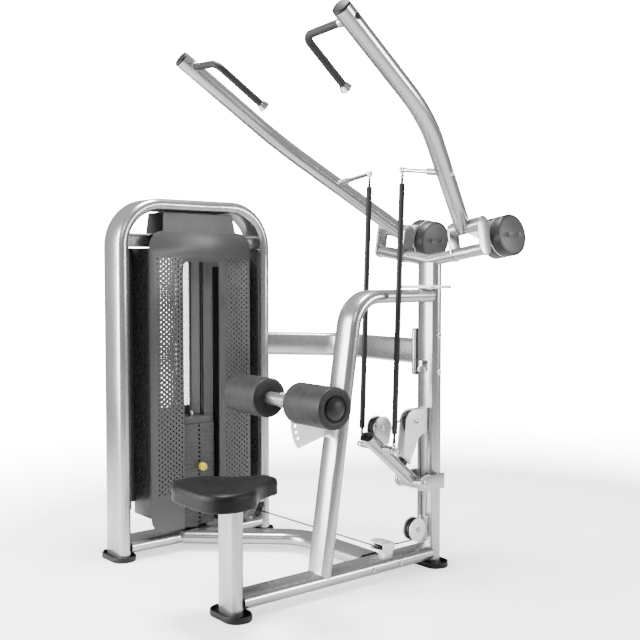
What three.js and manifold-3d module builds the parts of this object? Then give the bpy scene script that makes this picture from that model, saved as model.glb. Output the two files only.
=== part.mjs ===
// Lat pulldown machine: a seat and thigh rollers, a guarded weight stack beside them, and two
// overhead arms that a rocker lever, two tie rods and one cable join to the stack.
// Millimetres. The user faces +X, the weight stack stands on the user's left (+Y), +Z is up.
// The origin is on the floor under the middle of the rear upright.
import * as THREE from "three";
import { mergeVertices } from "three/addons/utils/BufferGeometryUtils.js";
import Module from "manifold-3d";

const wasm = await Module();
wasm.setup();

// ---------------------------------------------------------------- driving dimensions
const GAP = 0.3; // between pieces that touch
const FLOOR_CLEAR = 10; // thickness of a foot under the tube that stands in it
const MAIN = { width: 110, flat: 74, thickness: 50, wall: 3 };
const TOWER = { width: 150, flat: 110, thickness: 50, wall: 3 };
const LINK = { width: 104, flat: 72, thickness: 44, wall: 3 };
const LEVER_TUBE = { width: 70, flat: 44, thickness: 40, wall: 3 };
const FOOT = { radius: 52, half: 39, height: 22, rim: 6 };

const RAIL_Z = 53.5; // centre height of the floor tubes
const RAIL_TOP = RAIL_Z + MAIN.thickness / 2;
const SEAT_POST_X = -973;
const SEAT_BOTTOM = 409;
const SEAT_THICKNESS = 60;
const FRONT_UPRIGHT = { footX: -575.5, lean: 0.153, topZ: 1098, bend: 128 };

const CROSSBAR_Z = 1238; // centre of the V of the crossbar
const CROSSBAR_TILT = Math.atan(0.152);
const CROSSBAR = { radius: 24, half: 290, pivotHeight: 98 };
const EAR = { radius: 28, inner: [134, 146], outer: [290.3, 301.3] };
const SHAFT_RADIUS = 12;

const ARM = { radius: 32, wall: 3, rootS: 195, bend: [-451.3, 418.5, 1717], end: [-871, 466, 1999.5] };
const ARM_BEND_RADIUS = 800;
const HANDLE = { root: [-832, 461.6, 1973], bend: [-851, 261.5, 1953], end: [-669.8, 237.6, 1825.7], radius: 13.5 };
const COUNTERWEIGHT = { x: 198.6, s: 222, h: 62.3, radius: 83, disc: 46, plate: 8 };

const LEVER = { x: -95, z: 352, angle: THREE.MathUtils.degToRad(40.1), length: 321, hub: 26, pinAt: 248.4 };
const LEVER_SHEAVE = { along: -291.2, above: 63.3, radius: 41 };
const ROD = { w: 92, topX: -246, topZ: 1578, sleeve: 11, stud: 4.5, eye: 14 };

const PULLEY = { radius: 45, half: 10, groove: 6, bore: 6.3, axle: 6 };
const SMALL_PULLEY_RADIUS = 38;
const CABLE_RADIUS = 3;
const CABLE_STAND_OFF = CABLE_RADIUS + 1 - PULLEY.groove; // cable centre beyond a pulley's rim
const UPRIGHT_PULLEY = [-97, 594];
const BASE_PULLEY = [-81, 156];
const CABLE_WRAP = PULLEY.radius + CABLE_STAND_OFF; // radius of the cable round a pulley
const SMALL_WRAP = SMALL_PULLEY_RADIUS + CABLE_STAND_OFF;
const CABLE_Z = BASE_PULLEY[1] - CABLE_WRAP; // height of the floor run
const FLOOR_PULLEY_RADIUS = 30;
const FLOOR_WRAP = FLOOR_PULLEY_RADIUS + CABLE_STAND_OFF;
const FLOOR_PULLEY = [-239, FLOOR_WRAP];
const TOWER_PULLEY = [-291, 800, BASE_PULLEY[1]];
const TOWER_PULLEY_TILT = -0.112; // the cable slants down to it from the top of the tower

const TOWER_Y = 866;
const TOWER_FRONT_X = -948.5;
const TOWER_REAR_X = -239;
const TOWER_TOP_Z = 1474;
const TOWER_BEND = 175;
const TOWER_MID_X = (TOWER_FRONT_X + TOWER_REAR_X) / 2;
const CROSS_PLATE_Z = 1345;
const CROSS_BEAM = { front: 836, back: 896, depth: 48 };

const STACK = { half: 75, front: 800, back: 926, bottom: 98, split: 345.5, top: 538, cap: 27 };
const GUIDE_ROD = { radius: 8, spread: 55 };
const PIN_Z = 355;

const PAD_PIVOT = [-545, 650];
const PAD_AXLE = [-741, 734];
const ROLLER = { radius: 73, inner: 84, outer: 287, axle: 24 };
const SECTOR = { radius: 165, holes: 146, pitch: THREE.MathUtils.degToRad(9.5) };

// ---------------------------------------------------------------- finishes
const FINISHES = {
  frame: { color: 0xc9cbcd, roughness: 0.38, metalness: 0.55 },
  plate: { color: 0xe6e7e8, roughness: 0.45, metalness: 0.3 },
  shroud: { color: 0x5c5d5f, roughness: 0.55, metalness: 0.2 },
  cover: { color: 0x4a4b4d, roughness: 0.5, metalness: 0.1 },
  black_rubber: { color: 0x1d1d1e, roughness: 0.75, metalness: 0 },
  grip: { color: 0x262627, roughness: 0.8, metalness: 0 },
  pad: { color: 0x2d2d2f, roughness: 0.6, metalness: 0 },
  leather: { color: 0x1b1b1c, roughness: 0.5, metalness: 0 },
  iron: { color: 0x3c3d3f, roughness: 0.5, metalness: 0.4 },
  chrome: { color: 0xd9dadb, roughness: 0.12, metalness: 1 },
  steel: { color: 0x9a9c9e, roughness: 0.35, metalness: 0.8 },
  pulley: { color: 0x18181a, roughness: 0.45, metalness: 0 },
  cable: { color: 0x2a2a2b, roughness: 0.5, metalness: 0 },
  yellow: { color: 0xd8b51c, roughness: 0.4, metalness: 0 },
};

const machine = new THREE.Group();

function add(name, geometry, finish, position = [0, 0, 0]) {
  const mesh = new THREE.Mesh(geometry, new THREE.MeshStandardMaterial(FINISHES[finish]));
  mesh.name = name;
  mesh.position.set(...position);
  machine.add(mesh);
}

// ---------------------------------------------------------------- shape helpers
const vector = (point) => new THREE.Vector3(...point);

function solid(geometry) {
  const bare = geometry.index ? geometry.toNonIndexed() : geometry.clone();
  bare.deleteAttribute("normal");
  bare.deleteAttribute("uv");
  const merged = mergeVertices(bare, 1e-3);
  const mesh = new wasm.Mesh({
    numProp: 3,
    vertProperties: merged.attributes.position.array,
    triVerts: new Uint32Array(merged.index.array),
  });
  return new wasm.Manifold(mesh);
}

function geometryOf(manifold) {
  const mesh = manifold.getMesh();
  const geometry = new THREE.BufferGeometry();
  geometry.setAttribute("position", new THREE.BufferAttribute(mesh.vertProperties, 3));
  geometry.setIndex(new THREE.BufferAttribute(mesh.triVerts, 1));
  geometry.computeVertexNormals();
  return geometry;
}

const join = (...pieces) => geometryOf(pieces.map(solid).reduce((a, b) => a.add(b)));
const cut = (piece, ...tools) => geometryOf(tools.map(solid).reduce((a, b) => a.subtract(b), solid(piece)));

function mirrored(geometry) {
  const copy = geometry.index ? geometry.toNonIndexed() : geometry.clone();
  const position = copy.attributes.position;
  for (let corner = 0; corner < position.count; corner += 3) {
    const [a, b, c] = [0, 2, 1].map((k) => new THREE.Vector3().fromBufferAttribute(position, corner + k));
    [a, b, c].forEach((point, k) => position.setXYZ(corner + k, point.x, -point.y, point.z));
  }
  copy.deleteAttribute("uv");
  copy.computeVertexNormals();
  return copy;
}

function block(x0, x1, y0, y1, z0, z1) {
  const box = new THREE.BoxGeometry(x1 - x0, y1 - y0, z1 - z0);
  return box.translate((x0 + x1) / 2, (y0 + y1) / 2, (z0 + z1) / 2);
}

// A round or hexagonal bar between two points.
function bar(from, to, radius, sides = 16) {
  const [a, b] = [vector(from), vector(to)];
  const along = b.clone().sub(a);
  const geometry = new THREE.CylinderGeometry(radius, radius, along.length(), sides);
  const turn = new THREE.Quaternion().setFromUnitVectors(new THREE.Vector3(0, 1, 0), along.clone().normalize());
  return geometry.applyQuaternion(turn).translate(...a.add(b).multiplyScalar(0.5).toArray());
}

// A solid of revolution about the line through base along the direction; profile is [radius, height] pairs.
function turned(profile, base, direction, sides = 18) {
  const points = profile.map(([radius, height]) => new THREE.Vector2(radius, height));
  const geometry = new THREE.LatheGeometry(points, sides);
  const turn = new THREE.Quaternion().setFromUnitVectors(new THREE.Vector3(0, 1, 0), vector(direction).normalize());
  return geometry.applyQuaternion(turn).translate(...base);
}

// A plate with the outline of a shape, its axes given in the machine's frame.
function extruded(shape, thickness, rounding, axes) {
  const geometry = new THREE.ExtrudeGeometry(shape, {
    depth: thickness,
    bevelEnabled: false,
    curveSegments: rounding,
  });
  return geometry.applyMatrix4(new THREE.Matrix4().makeBasis(...axes.map(vector)));
}

const plateXZ = (shape, y0, y1, rounding = 4) =>
  extruded(shape, y1 - y0, rounding, [[1, 0, 0], [0, 0, 1], [0, -1, 0]]).translate(0, y1, 0);
const plateYZ = (shape, x0, x1, rounding = 4) =>
  extruded(shape, x1 - x0, rounding, [[0, 1, 0], [0, 0, 1], [1, 0, 0]]).translate(x0, 0, 0);
const plateXY = (shape, z0, z1, rounding = 4) =>
  extruded(shape, z1 - z0, rounding, [[1, 0, 0], [0, 1, 0], [0, 0, 1]]).translate(0, 0, z0);

// The outline round two circles and their common tangents.
function slug(x1, y1, r1, x2, y2, r2 = r1) {
  const shape = new THREE.Shape();
  const heading = Math.atan2(y2 - y1, x2 - x1);
  const spread = Math.acos((r1 - r2) / Math.hypot(x2 - x1, y2 - y1));
  shape.absarc(x1, y1, r1, heading + spread, heading - spread + 2 * Math.PI, false);
  shape.absarc(x2, y2, r2, heading - spread, heading + spread, false);
  return shape;
}

function disc(x, y, radius) {
  const shape = new THREE.Shape();
  shape.absarc(x, y, radius, 0, 2 * Math.PI, false);
  return shape;
}

function polygon(points) {
  return new THREE.Shape(points.map(([x, y]) => new THREE.Vector2(x, y)));
}

function roundedRectangle(x0, x1, y0, y1, radius) {
  const shape = new THREE.Shape();
  shape.absarc(x1 - radius, y1 - radius, radius, 0, Math.PI / 2, false);
  shape.absarc(x0 + radius, y1 - radius, radius, Math.PI / 2, Math.PI, false);
  shape.absarc(x0 + radius, y0 + radius, radius, Math.PI, 1.5 * Math.PI, false);
  shape.absarc(x1 - radius, y0 + radius, radius, 1.5 * Math.PI, 2 * Math.PI, false);
  return shape;
}

// ---------------------------------------------------------------- tubes
// Straight runs joined by arcs, sampled only where it bends. Radius is one number, or one for
// each corner. Across, if given, is the unit normal of the plane of the path, and the
// section's own x axis then points along it.
class BentPath extends THREE.Curve {
  constructor(corners, radius = 0, steps = 6, across = null) {
    super();
    const points = corners.map(vector);
    this.across = across && vector(across);
    this.stations = [this.station(points[0], points[1].clone().sub(points[0]))];
    for (let i = 1; i < points.length - 1; i += 1) this.bendAt(points, i, radius[i - 1] ?? radius, steps);
    const [before, last] = points.slice(-2);
    this.stations.push(this.station(last, last.clone().sub(before)));
  }

  station(point, heading) {
    return { point, tangent: heading.clone().normalize() };
  }

  bendAt(points, i, radius, steps) {
    const arrive = points[i].clone().sub(points[i - 1]).normalize();
    const leave = points[i + 1].clone().sub(points[i]).normalize();
    const turn = arrive.angleTo(leave);
    const inward = leave.clone().addScaledVector(arrive, -arrive.dot(leave)).normalize();
    const start = points[i].clone().addScaledVector(arrive, -radius * Math.tan(turn / 2));
    for (let k = 0; k <= steps; k += 1) {
      const angle = (turn * k) / steps;
      const point = start.clone().addScaledVector(arrive, radius * Math.sin(angle));
      point.addScaledVector(inward, radius * (1 - Math.cos(angle)));
      const heading = arrive.clone().multiplyScalar(Math.cos(angle)).addScaledVector(inward, Math.sin(angle));
      this.stations.push(this.station(point, heading));
    }
  }

  stationAt(u) {
    return this.stations[Math.round(u * (this.stations.length - 1))];
  }

  getPointAt(u, target = new THREE.Vector3()) {
    return target.copy(this.stationAt(u).point);
  }

  getTangentAt(u, target = new THREE.Vector3()) {
    return target.copy(this.stationAt(u).tangent);
  }

  computeFrenetFrames(segments, closed) {
    if (!this.across) return super.computeFrenetFrames(segments, closed);
    const tangents = this.stations.map(({ tangent }) => tangent);
    const normals = tangents.map(() => this.across.clone());
    const binormals = tangents.map((tangent) => tangent.clone().cross(this.across));
    return { tangents, normals, binormals };
  }
}

function sweep(section, path, rounding) {
  return new THREE.ExtrudeGeometry(section, {
    steps: path.stations.length - 1,
    extrudePath: path,
    curveSegments: rounding,
    bevelEnabled: false,
  });
}

// Adds the flat-sided oval with bulging ends to a shape; turnedSection swaps its two axes.
function drawOval(shape, width, flat, thickness, turnedSection) {
  const bulge = (width - flat) / 2;
  const radius = (thickness ** 2 / 4 + bulge ** 2) / (2 * bulge);
  const reach = Math.asin(thickness / 2 / radius);
  const offset = flat / 2 + bulge - radius;
  const quarter = turnedSection ? Math.PI / 2 : 0;
  for (const facing of [quarter, quarter + Math.PI]) {
    const centre = [offset * Math.cos(facing), offset * Math.sin(facing)];
    shape.absarc(...centre, radius, facing - reach, facing + reach, false);
  }
  return shape;
}

function ovalSection({ width, flat, thickness, wall }, turnedSection = false) {
  const section = drawOval(new THREE.Shape(), width, flat, thickness, turnedSection);
  const inside = [width - 2 * wall, flat, thickness - 2 * wall];
  section.holes.push(drawOval(new THREE.Path(), ...inside, turnedSection));
  return section;
}

// The same tube without its bore and a hair larger, for cutting the tubes that butt against it.
function clearanceSection({ width, flat, thickness }, turnedSection = false) {
  return drawOval(new THREE.Shape(), width + 2 * GAP, flat, thickness + 2 * GAP, turnedSection);
}

const OVAL_ROUNDING = 3;
const ovalTube = (size, path, turnedSection) => sweep(ovalSection(size, turnedSection), path, OVAL_ROUNDING);
const ovalCutter = (size, path, turnedSection) => sweep(clearanceSection(size, turnedSection), path, OVAL_ROUNDING);

function roundTube(radius, wall, path, rounding) {
  const section = disc(0, 0, radius);
  if (wall) section.holes.push(disc(0, 0, radius - wall));
  return sweep(section, path, rounding);
}

// ---------------------------------------------------------------- main frame
const ALONG_X = [0, 1, 0]; // section x axis of tubes that run in the XZ plane
const uprightPath = new BentPath([[0, 0, FLOOR_CLEAR + GAP], [0, 0, CROSSBAR_Z - 12]], 0, 0, ALONG_X);
const seatPostPath = new BentPath(
  [[SEAT_POST_X, 0, FLOOR_CLEAR + GAP], [SEAT_POST_X, 0, SEAT_BOTTOM - 8]], 0, 0, ALONG_X);
const railPath = new BentPath([[SEAT_POST_X + 2, 0, RAIL_Z], [-2, 0, RAIL_Z]], 0, 0, ALONG_X);
const crossbarPath = (half) => new BentPath([-1, 0, 1].map((side) => [
  0,
  side * half * Math.cos(CROSSBAR_TILT),
  CROSSBAR_Z + Math.abs(side) * half * Math.sin(CROSSBAR_TILT),
]), 80, 2);

// Puts a piece drawn beside a level crossbar onto its left half.
const onCrossbar = (geometry) => geometry.rotateX(CROSSBAR_TILT).translate(0, 0, CROSSBAR_Z);
const bothSides = (geometry) => [geometry, mirrored(geometry)];

function seatPost() {
  const plate = roundedRectangle(SEAT_POST_X - 140, SEAT_POST_X + 110, -60, 60, 20);
  return join(ovalTube(MAIN, seatPostPath), plateXY(plate, SEAT_BOTTOM - 8, SEAT_BOTTOM, 2));
}

function rearUpright() {
  const ear = new THREE.Shape();
  ear.moveTo(18, LEVER.z - 30);
  ear.lineTo(18, LEVER.z + 30);
  ear.absarc(LEVER.x, LEVER.z, 30, Math.PI / 2, 1.5 * Math.PI, false);
  const ears = bothSides(plateXZ(ear, 58, 72));
  const spacers = bothSides(block(-20, 17, 50, 59, LEVER.z - 29, LEVER.z + 29));
  const anchor = [
    block(-48, -24, -4, 20, 812, 838),
    bar([-38, 8, 824], [-52, 8, 792], 7, 6),
  ];
  const shaftHole = bar([LEVER.x, -80, LEVER.z], [LEVER.x, 80, LEVER.z], SHAFT_RADIUS + GAP);
  const crossbarCutter = roundTube(CROSSBAR.radius + 2 * GAP, 0, crossbarPath(CROSSBAR.half), 8);
  const body = join(ovalTube(MAIN, uprightPath), ...ears, ...spacers, ...anchor);
  return cut(body, shaftHole, crossbarCutter);
}

function baseRail() {
  return cut(ovalTube(MAIN, railPath), ovalCutter(MAIN, uprightPath), ovalCutter(MAIN, seatPostPath));
}

function frontUpright() {
  const { footX, lean, topZ, bend } = FRONT_UPRIGHT;
  const corners = [
    [footX - lean * 20, 0, RAIL_TOP - 20],
    [footX + lean * (topZ - RAIL_TOP), 0, topZ],
    [-2, 0, topZ],
  ];
  const tube = ovalTube(MAIN, new BentPath(corners, bend, 5, ALONG_X));
  const belowRailTop = block(footX - 150, footX + 150, -100, 100, 0, RAIL_TOP + GAP);
  return cut(tube, ovalCutter(MAIN, uprightPath), belowRailTop);
}

function crossbar() {
  const axis = CROSSBAR.pivotHeight;
  const shaft = onCrossbar(bar([0, 120, axis], [0, 310, axis], SHAFT_RADIUS + GAP));
  const ears = [EAR.inner, EAR.outer].map(([from, to]) =>
    onCrossbar(plateXZ(slug(0, 0, EAR.radius, 0, axis), from, to)));
  const tube = roundTube(CROSSBAR.radius, 0, crossbarPath(CROSSBAR.half + 4), 8);
  const bore = roundTube(CROSSBAR.radius - 3, 0, crossbarPath(CROSSBAR.half), 6);
  const vent = bar([0, 0, CROSSBAR_Z - 40], [0, 0, CROSSBAR_Z], 5, 12);
  return cut(join(tube, ...ears.flatMap(bothSides)), bore, vent, ...bothSides(shaft));
}

function collarPlate() {
  const plate = plateXY(roundedRectangle(-80, 40, -92, 92, 20), 1127, 1139, 3);
  return cut(plate, ovalCutter(MAIN, uprightPath));
}

function foot() {
  const { radius, half, height, rim } = FOOT;
  const outer = plateXY(slug(0, -half, radius, 0, half), 0, height, 5);
  const recess = plateXY(slug(0, -half, radius - rim, 0, half), FLOOR_CLEAR, height + 1, 5);
  return cut(outer, recess);
}

// Half of the saddle's outline, from the nose to the middle of the back, as [x, y].
const SEAT_HALF = [
  [-789, 0], [-791, 26], [-806, 42], [-850, 55], [-895, 78], [-930, 108], [-965, 146], [-1010, 167],
  [-1070, 168], [-1118, 146], [-1142, 100], [-1147, 50], [-1148, 0],
];

function seatCushion() {
  const curve = new THREE.SplineCurve(SEAT_HALF.map(([x, y]) => new THREE.Vector2(x, y)));
  const half = curve.getPoints(26);
  const other = half.slice(1, -1).reverse().map((point) => new THREE.Vector2(point.x, -point.y));
  return plateXY(new THREE.Shape([...half, ...other]), SEAT_BOTTOM + GAP, SEAT_BOTTOM + SEAT_THICKNESS);
}

// ---------------------------------------------------------------- tower
const towerPath = new BentPath([
  [TOWER_FRONT_X, TOWER_Y, FLOOR_CLEAR + GAP],
  [TOWER_FRONT_X, TOWER_Y, TOWER_TOP_Z],
  [TOWER_REAR_X, TOWER_Y, TOWER_TOP_Z],
  [TOWER_REAR_X, TOWER_Y, FLOOR_CLEAR + GAP],
], TOWER_BEND, 5, ALONG_X);
const INNER_FRONT = TOWER_FRONT_X + TOWER.thickness / 2;
const INNER_REAR = TOWER_REAR_X - TOWER.thickness / 2;
const towerRailPath = new BentPath(
  [[INNER_FRONT + GAP, TOWER_Y, RAIL_Z], [INNER_REAR - GAP, TOWER_Y, RAIL_Z]], 0, 0, ALONG_X);

const TOP_PULLEYS_X = [TOWER_MID_X + SMALL_WRAP, TOWER_MID_X + 131];
const TOP_PULLEY_Z = 1398;
const TOWER_DROP_X = -418; // where the cable passes down through the top plate

function towerLoop() {
  const weld = 1.5; // how far welded pieces run into the tube's wall
  const { front, back, depth } = CROSS_BEAM;
  const beam = block(INNER_FRONT - weld, INNER_REAR + weld, front, back, CROSS_PLATE_Z - depth, CROSS_PLATE_Z);
  const shelf = block(INNER_FRONT + 2, INNER_REAR - 2, 800, 930, CROSS_PLATE_Z - 1, CROSS_PLATE_Z + 6);
  const cheeks = [-15, 11].map((offset) =>
    block(-600, -420, TOWER_Y + offset, TOWER_Y + offset + 4, CROSS_PLATE_Z, TOP_PULLEY_Z + 12));
  const axles = TOP_PULLEYS_X.map((x) =>
    bar([x, TOWER_Y - 15, TOP_PULLEY_Z], [x, TOWER_Y + 15, TOP_PULLEY_Z], PULLEY.axle, 16));
  const cableHoles = [TOWER_MID_X, TOWER_DROP_X].map((x) =>
    bar([x, TOWER_Y, CROSS_PLATE_Z - 60], [x, TOWER_Y, CROSS_PLATE_Z + 10], 12, 12));
  return cut(join(ovalTube(TOWER, towerPath), beam, shelf, ...cheeks, ...axles), ...cableHoles);
}

function towerRail() {
  const cheek = slug(0, 0, 30, 48, RAIL_TOP - TOWER_PULLEY[2] - 2, 14);
  const cheeks = [-15, 11].map((offset) => plateYZ(cheek, offset, offset + 4));
  const axle = bar([-19, 0, 0], [15, 0, 0], PULLEY.axle);
  const belowRailTop = block(-60, 60, -60, 120, -120, RAIL_TOP - TOWER_PULLEY[2] - 1.5);
  const bracket = join(...cheeks, axle).rotateY(TOWER_PULLEY_TILT);
  return join(ovalTube(TOWER, towerRailPath), cut(bracket, belowRailTop).translate(...TOWER_PULLEY));
}

const SHROUD = { left: -843, right: -341, bottom: 98, top: 1362, front: 776, radius: 65, sheet: 4 };
const SLOT = { left: -682, right: -505, top: 1235 };

function frontShroud() {
  const { left, right, bottom, top, front, radius, sheet } = SHROUD;
  const panel = plateXZ(roundedRectangle(left, right, bottom, top, radius), front, front + sheet, 3);
  const slot = plateXZ(
    roundedRectangle(SLOT.left, SLOT.right, bottom - 100, SLOT.top, 20), front - 1, front + sheet + 1, 3);
  const side = (x, depth) => block(x, x + sheet, front + 1, depth, bottom + radius, CROSS_PLATE_Z - 53);
  return join(cut(panel, slot), side(left, 925), side(right - sheet, 835));
}

function rearShroud() {
  const [x0, x1, sheet] = [INNER_FRONT + 3, INNER_REAR - 3, 3];
  const outline = polygon([
    [x0, 812], [x0, 934], [x1, 934], [x1, 812],
    [x1 - sheet, 812], [x1 - sheet, 934 - sheet], [x0 + sheet, 934 - sheet], [x0 + sheet, 812],
  ]);
  return plateXY(outline, 210, CROSS_PLATE_Z - 51);
}

function pulleyCover() {
  const [low, high, sheet] = [CROSS_PLATE_Z + 6 + GAP, 1443, 3];
  const profile = (inset, base) =>
    polygon([[782 + inset, base], [925 - inset, base], [925 - inset, high - inset], [800 + inset, high - inset]]);
  return cut(plateYZ(profile(0, low), -777, -411), plateYZ(profile(sheet, low - 5), -774, -414));
}

function linkTube() {
  const tube = ovalTube(LINK, new BentPath(
    [[0, 66, 868], [0, 552, 868], [TOWER_REAR_X, 839, 868]], 200, 5, [0, 0, 1]));
  const plate = plateXZ(roundedRectangle(-32, 32, 772, 964, 12), MAIN.width / 2 + GAP, 70, 2);
  return cut(join(tube, plate), ovalCutter(TOWER, towerPath));
}

function floorLinkTube() {
  const path = new BentPath([[-664, 833, RAIL_Z], [-275, 481, RAIL_Z], [-275, 40, RAIL_Z]], 200, 5, [0, 0, 1]);
  return cut(ovalTube(MAIN, path, true), ovalCutter(TOWER, towerRailPath), ovalCutter(MAIN, railPath));
}

// ---------------------------------------------------------------- weight stack
const stackBlock = (z0, z1) =>
  block(TOWER_MID_X - STACK.half, TOWER_MID_X + STACK.half, STACK.front, STACK.back, z0, z1);
const verticalBar = (x, z0, z1, radius, sides = 16) => bar([x, TOWER_Y, z0], [x, TOWER_Y, z1], radius, sides);
const GUIDE_RODS_X = [TOWER_MID_X - GUIDE_ROD.spread, TOWER_MID_X + GUIDE_ROD.spread];
const guideHoles = () => GUIDE_RODS_X.map((x) => verticalBar(x, 0, 800, GUIDE_ROD.radius + 1));
const STEM_RADIUS = 9;

function restingPlates() {
  const feet = GUIDE_RODS_X.map((x) => verticalBar(x, RAIL_TOP + GAP, STACK.bottom + 1, 20));
  const stemHole = verticalBar(TOWER_MID_X, STACK.bottom - 10, STACK.split + 10, STEM_RADIUS + 1.5);
  return cut(join(stackBlock(STACK.bottom, STACK.split), ...feet), stemHole, ...guideHoles());
}

function liftedPlates() {
  const plates = stackBlock(STACK.split + GAP, STACK.top);
  const cap = block(TOWER_MID_X - 70, TOWER_MID_X + 70, STACK.front + 4, STACK.back - 4, STACK.top - 1, STACK.top + STACK.cap);
  const stem = verticalBar(TOWER_MID_X, STACK.bottom + 12, 590, STEM_RADIUS);
  const pinHole = bar([TOWER_MID_X, STACK.front - 5, PIN_Z], [TOWER_MID_X, TOWER_Y - 4, PIN_Z], 5.5, 12);
  return cut(join(plates, cap, stem), pinHole, ...guideHoles());
}

function selectorPin() {
  const profile = [[0, -9], [4, -9], [5, -6], [5, 52], [16, 54], [17, 58], [17, 74], [14, 78], [0, 79]];
  return turned(profile, [TOWER_MID_X, TOWER_Y - 27, PIN_Z], [0, -1, 0], 12);
}

// ---------------------------------------------------------------- pulleys and their brackets
function pulley(axis, radius = PULLEY.radius) {
  const { half, groove, bore } = PULLEY;
  const profile = [
    [bore, -half], [radius, -half], [radius, -half + 3], [radius - groove, -2.5],
    [radius - groove, 2.5], [radius, half - 3], [radius, half], [bore, half], [bore, -half],
  ];
  return turned(profile, [0, 0, 0], axis, 12);
}

const CHEEK = [16, 22]; // inner and outer face of a pulley's cheek plates, from its middle
const FLOOR_CHEEK = [11, 16];
const BOLT_HEAD = { radius: 11, height: 6 };
const axleAlongY = ([x, z]) => {
  const reach = CHEEK[1] + BOLT_HEAD.height;
  return bar([x, -reach, z], [x, reach, z], BOLT_HEAD.radius, 12);
};
const axlePin = ([x, z]) => bar([x, -CHEEK[1], z], [x, CHEEK[1], z], PULLEY.axle, 16);

// Bolt heads stand on the outer faces only, so the pulley turns on the plain pin between them.
function pulleyBolt(centre) {
  const between = block(centre[0] - 20, centre[0] + 20, -CHEEK[1] + 0.5, CHEEK[1] - 0.5, centre[1] - 20, centre[1] + 20);
  return join(cut(axleAlongY(centre), between), axlePin(centre));
}

// Pieces drawn beside a level lever that points along -X from its pivot at the origin.
const onLever = (geometry) => geometry.rotateY(LEVER.angle).translate(LEVER.x, 0, LEVER.z);
const leverPoint = (along, above) => new THREE.Vector3(along, 0, above)
  .applyAxisAngle(new THREE.Vector3(0, 1, 0), LEVER.angle)
  .add(new THREE.Vector3(LEVER.x, 0, LEVER.z));
const BUMPER = { along: -100, radius: 22, height: 17 };
const LEVER_TOP = LEVER_TUBE.thickness / 2;

function uprightPulleyBracket() {
  const [x, z] = UPRIGHT_PULLEY;
  const footBase = LEVER_TOP + 2 * GAP + BUMPER.height;
  const cheek = new THREE.Shape();
  cheek.moveTo(-26, z + 51);
  cheek.lineTo(x, z + 51);
  cheek.absarc(x, z, 51, Math.PI / 2, Math.PI, false);
  for (const offset of [-22, 22]) {
    const corner = leverPoint(BUMPER.along + offset, footBase + 4);
    cheek.lineTo(corner.x, corner.z);
  }
  cheek.lineTo(-92, 500);
  cheek.quadraticCurveTo(-78, 540, -26, 548);
  const sole = onLever(block(BUMPER.along - 26, BUMPER.along + 26, -CHEEK[1], CHEEK[1], footBase, footBase + 8));
  const underSole = onLever(block(BUMPER.along - 80, BUMPER.along + 80, -40, 40, footBase - 60, footBase));
  const back = block(-33, -25 - GAP, -CHEEK[1], CHEEK[1], 548, 646);
  const cheeks = bothSides(plateXZ(cheek, ...CHEEK));
  return cut(join(...cheeks, sole, back, pulleyBolt(UPRIGHT_PULLEY)), underSole);
}

function bumper() {
  const base = LEVER_TOP + GAP;
  return onLever(bar([BUMPER.along, 0, base], [BUMPER.along, 0, base + BUMPER.height], BUMPER.radius, 20));
}

function basePulleyBracket() {
  const [x, z] = BASE_PULLEY;
  const cheek = slug(x, z, 46, -50, z, 24);
  const back = block(-33, -25 - GAP, -CHEEK[1], CHEEK[1], z - 45, z + 45);
  const ties = bothSides(block(-60, -30, ...CHEEK, z - 24, z + 24));
  return join(...bothSides(plateXZ(cheek, ...CHEEK)), back, ...ties, pulleyBolt(BASE_PULLEY));
}

function floorPulleyHousing() {
  const [x, y] = FLOOR_PULLEY;
  const half = 30;
  const outline = new THREE.Shape();
  outline.moveTo(x - half, -20);
  outline.lineTo(x + half, -20);
  outline.absarc(x, 44, half, 0, Math.PI, false);
  const [inner, outer] = FLOOR_CHEEK;
  const layers = [[-outer, -inner], [inner, outer]];
  const plates = layers.map(([from, to]) => plateXY(outline, CABLE_Z + from, CABLE_Z + to));
  const endFace = block(x - half, x + half, -20, -14, CABLE_Z - outer, CABLE_Z + outer);
  const stand = block(x - 22, x + 22, -18, 20, RAIL_TOP + GAP, CABLE_Z - inner - 1);
  const axle = bar([x, y, CABLE_Z - outer + 1], [x, y, CABLE_Z + outer + 2], PULLEY.axle);
  return join(...plates, endFace, stand, axle);
}

// ---------------------------------------------------------------- rocker lever and tie rods
function lever() {
  const tube = ovalTube(LEVER_TUBE, new BentPath([[-14, 0, 0], [-LEVER.length, 0, 0]], 0, 0, ALONG_X));
  const hub = bar([0, -57.5, 0], [0, 57.5, 0], LEVER.hub);
  const boss = bar([-LEVER.pinAt, -ROD.w + 7.5, 0], [-LEVER.pinAt, ROD.w - 7.5, 0], 14);
  const pin = bar([-LEVER.pinAt, -ROD.w - 20, 0], [-LEVER.pinAt, ROD.w + 20, 0], 8, 16);
  const nuts = bothSides(bar([-LEVER.pinAt, ROD.w + 7.5, 0], [-LEVER.pinAt, ROD.w + 17, 0], 12, 6));
  const { along, above } = LEVER_SHEAVE;
  const cheek = slug(along, above, 46, along + 30, 34, 34);
  const cheeks = bothSides(plateXZ(cheek, ...CHEEK));
  const sheaveBolt = pulleyBolt([along, above]);
  const bore = bar([0, -70, 0], [0, 70, 0], SHAFT_RADIUS + GAP);
  const tubeBore = sweep(
    drawOval(new THREE.Shape(), LEVER_TUBE.width - 6, LEVER_TUBE.flat, LEVER_TUBE.thickness - 6, false),
    new BentPath([[-LEVER.hub, 0, 0], [-LEVER.length - 20, 0, 0]], 0, 0, ALONG_X), OVAL_ROUNDING);
  const body = cut(join(tube, hub, boss, ...cheeks), tubeBore);
  return onLever(cut(join(body, pin, ...nuts, sheaveBolt), bore));
}

const rodBottom = [
  LEVER.x - LEVER.pinAt * Math.cos(LEVER.angle), ROD.w, LEVER.z + LEVER.pinAt * Math.sin(LEVER.angle)];
const rodTop = [ROD.topX, ROD.w, ROD.topZ];

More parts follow.
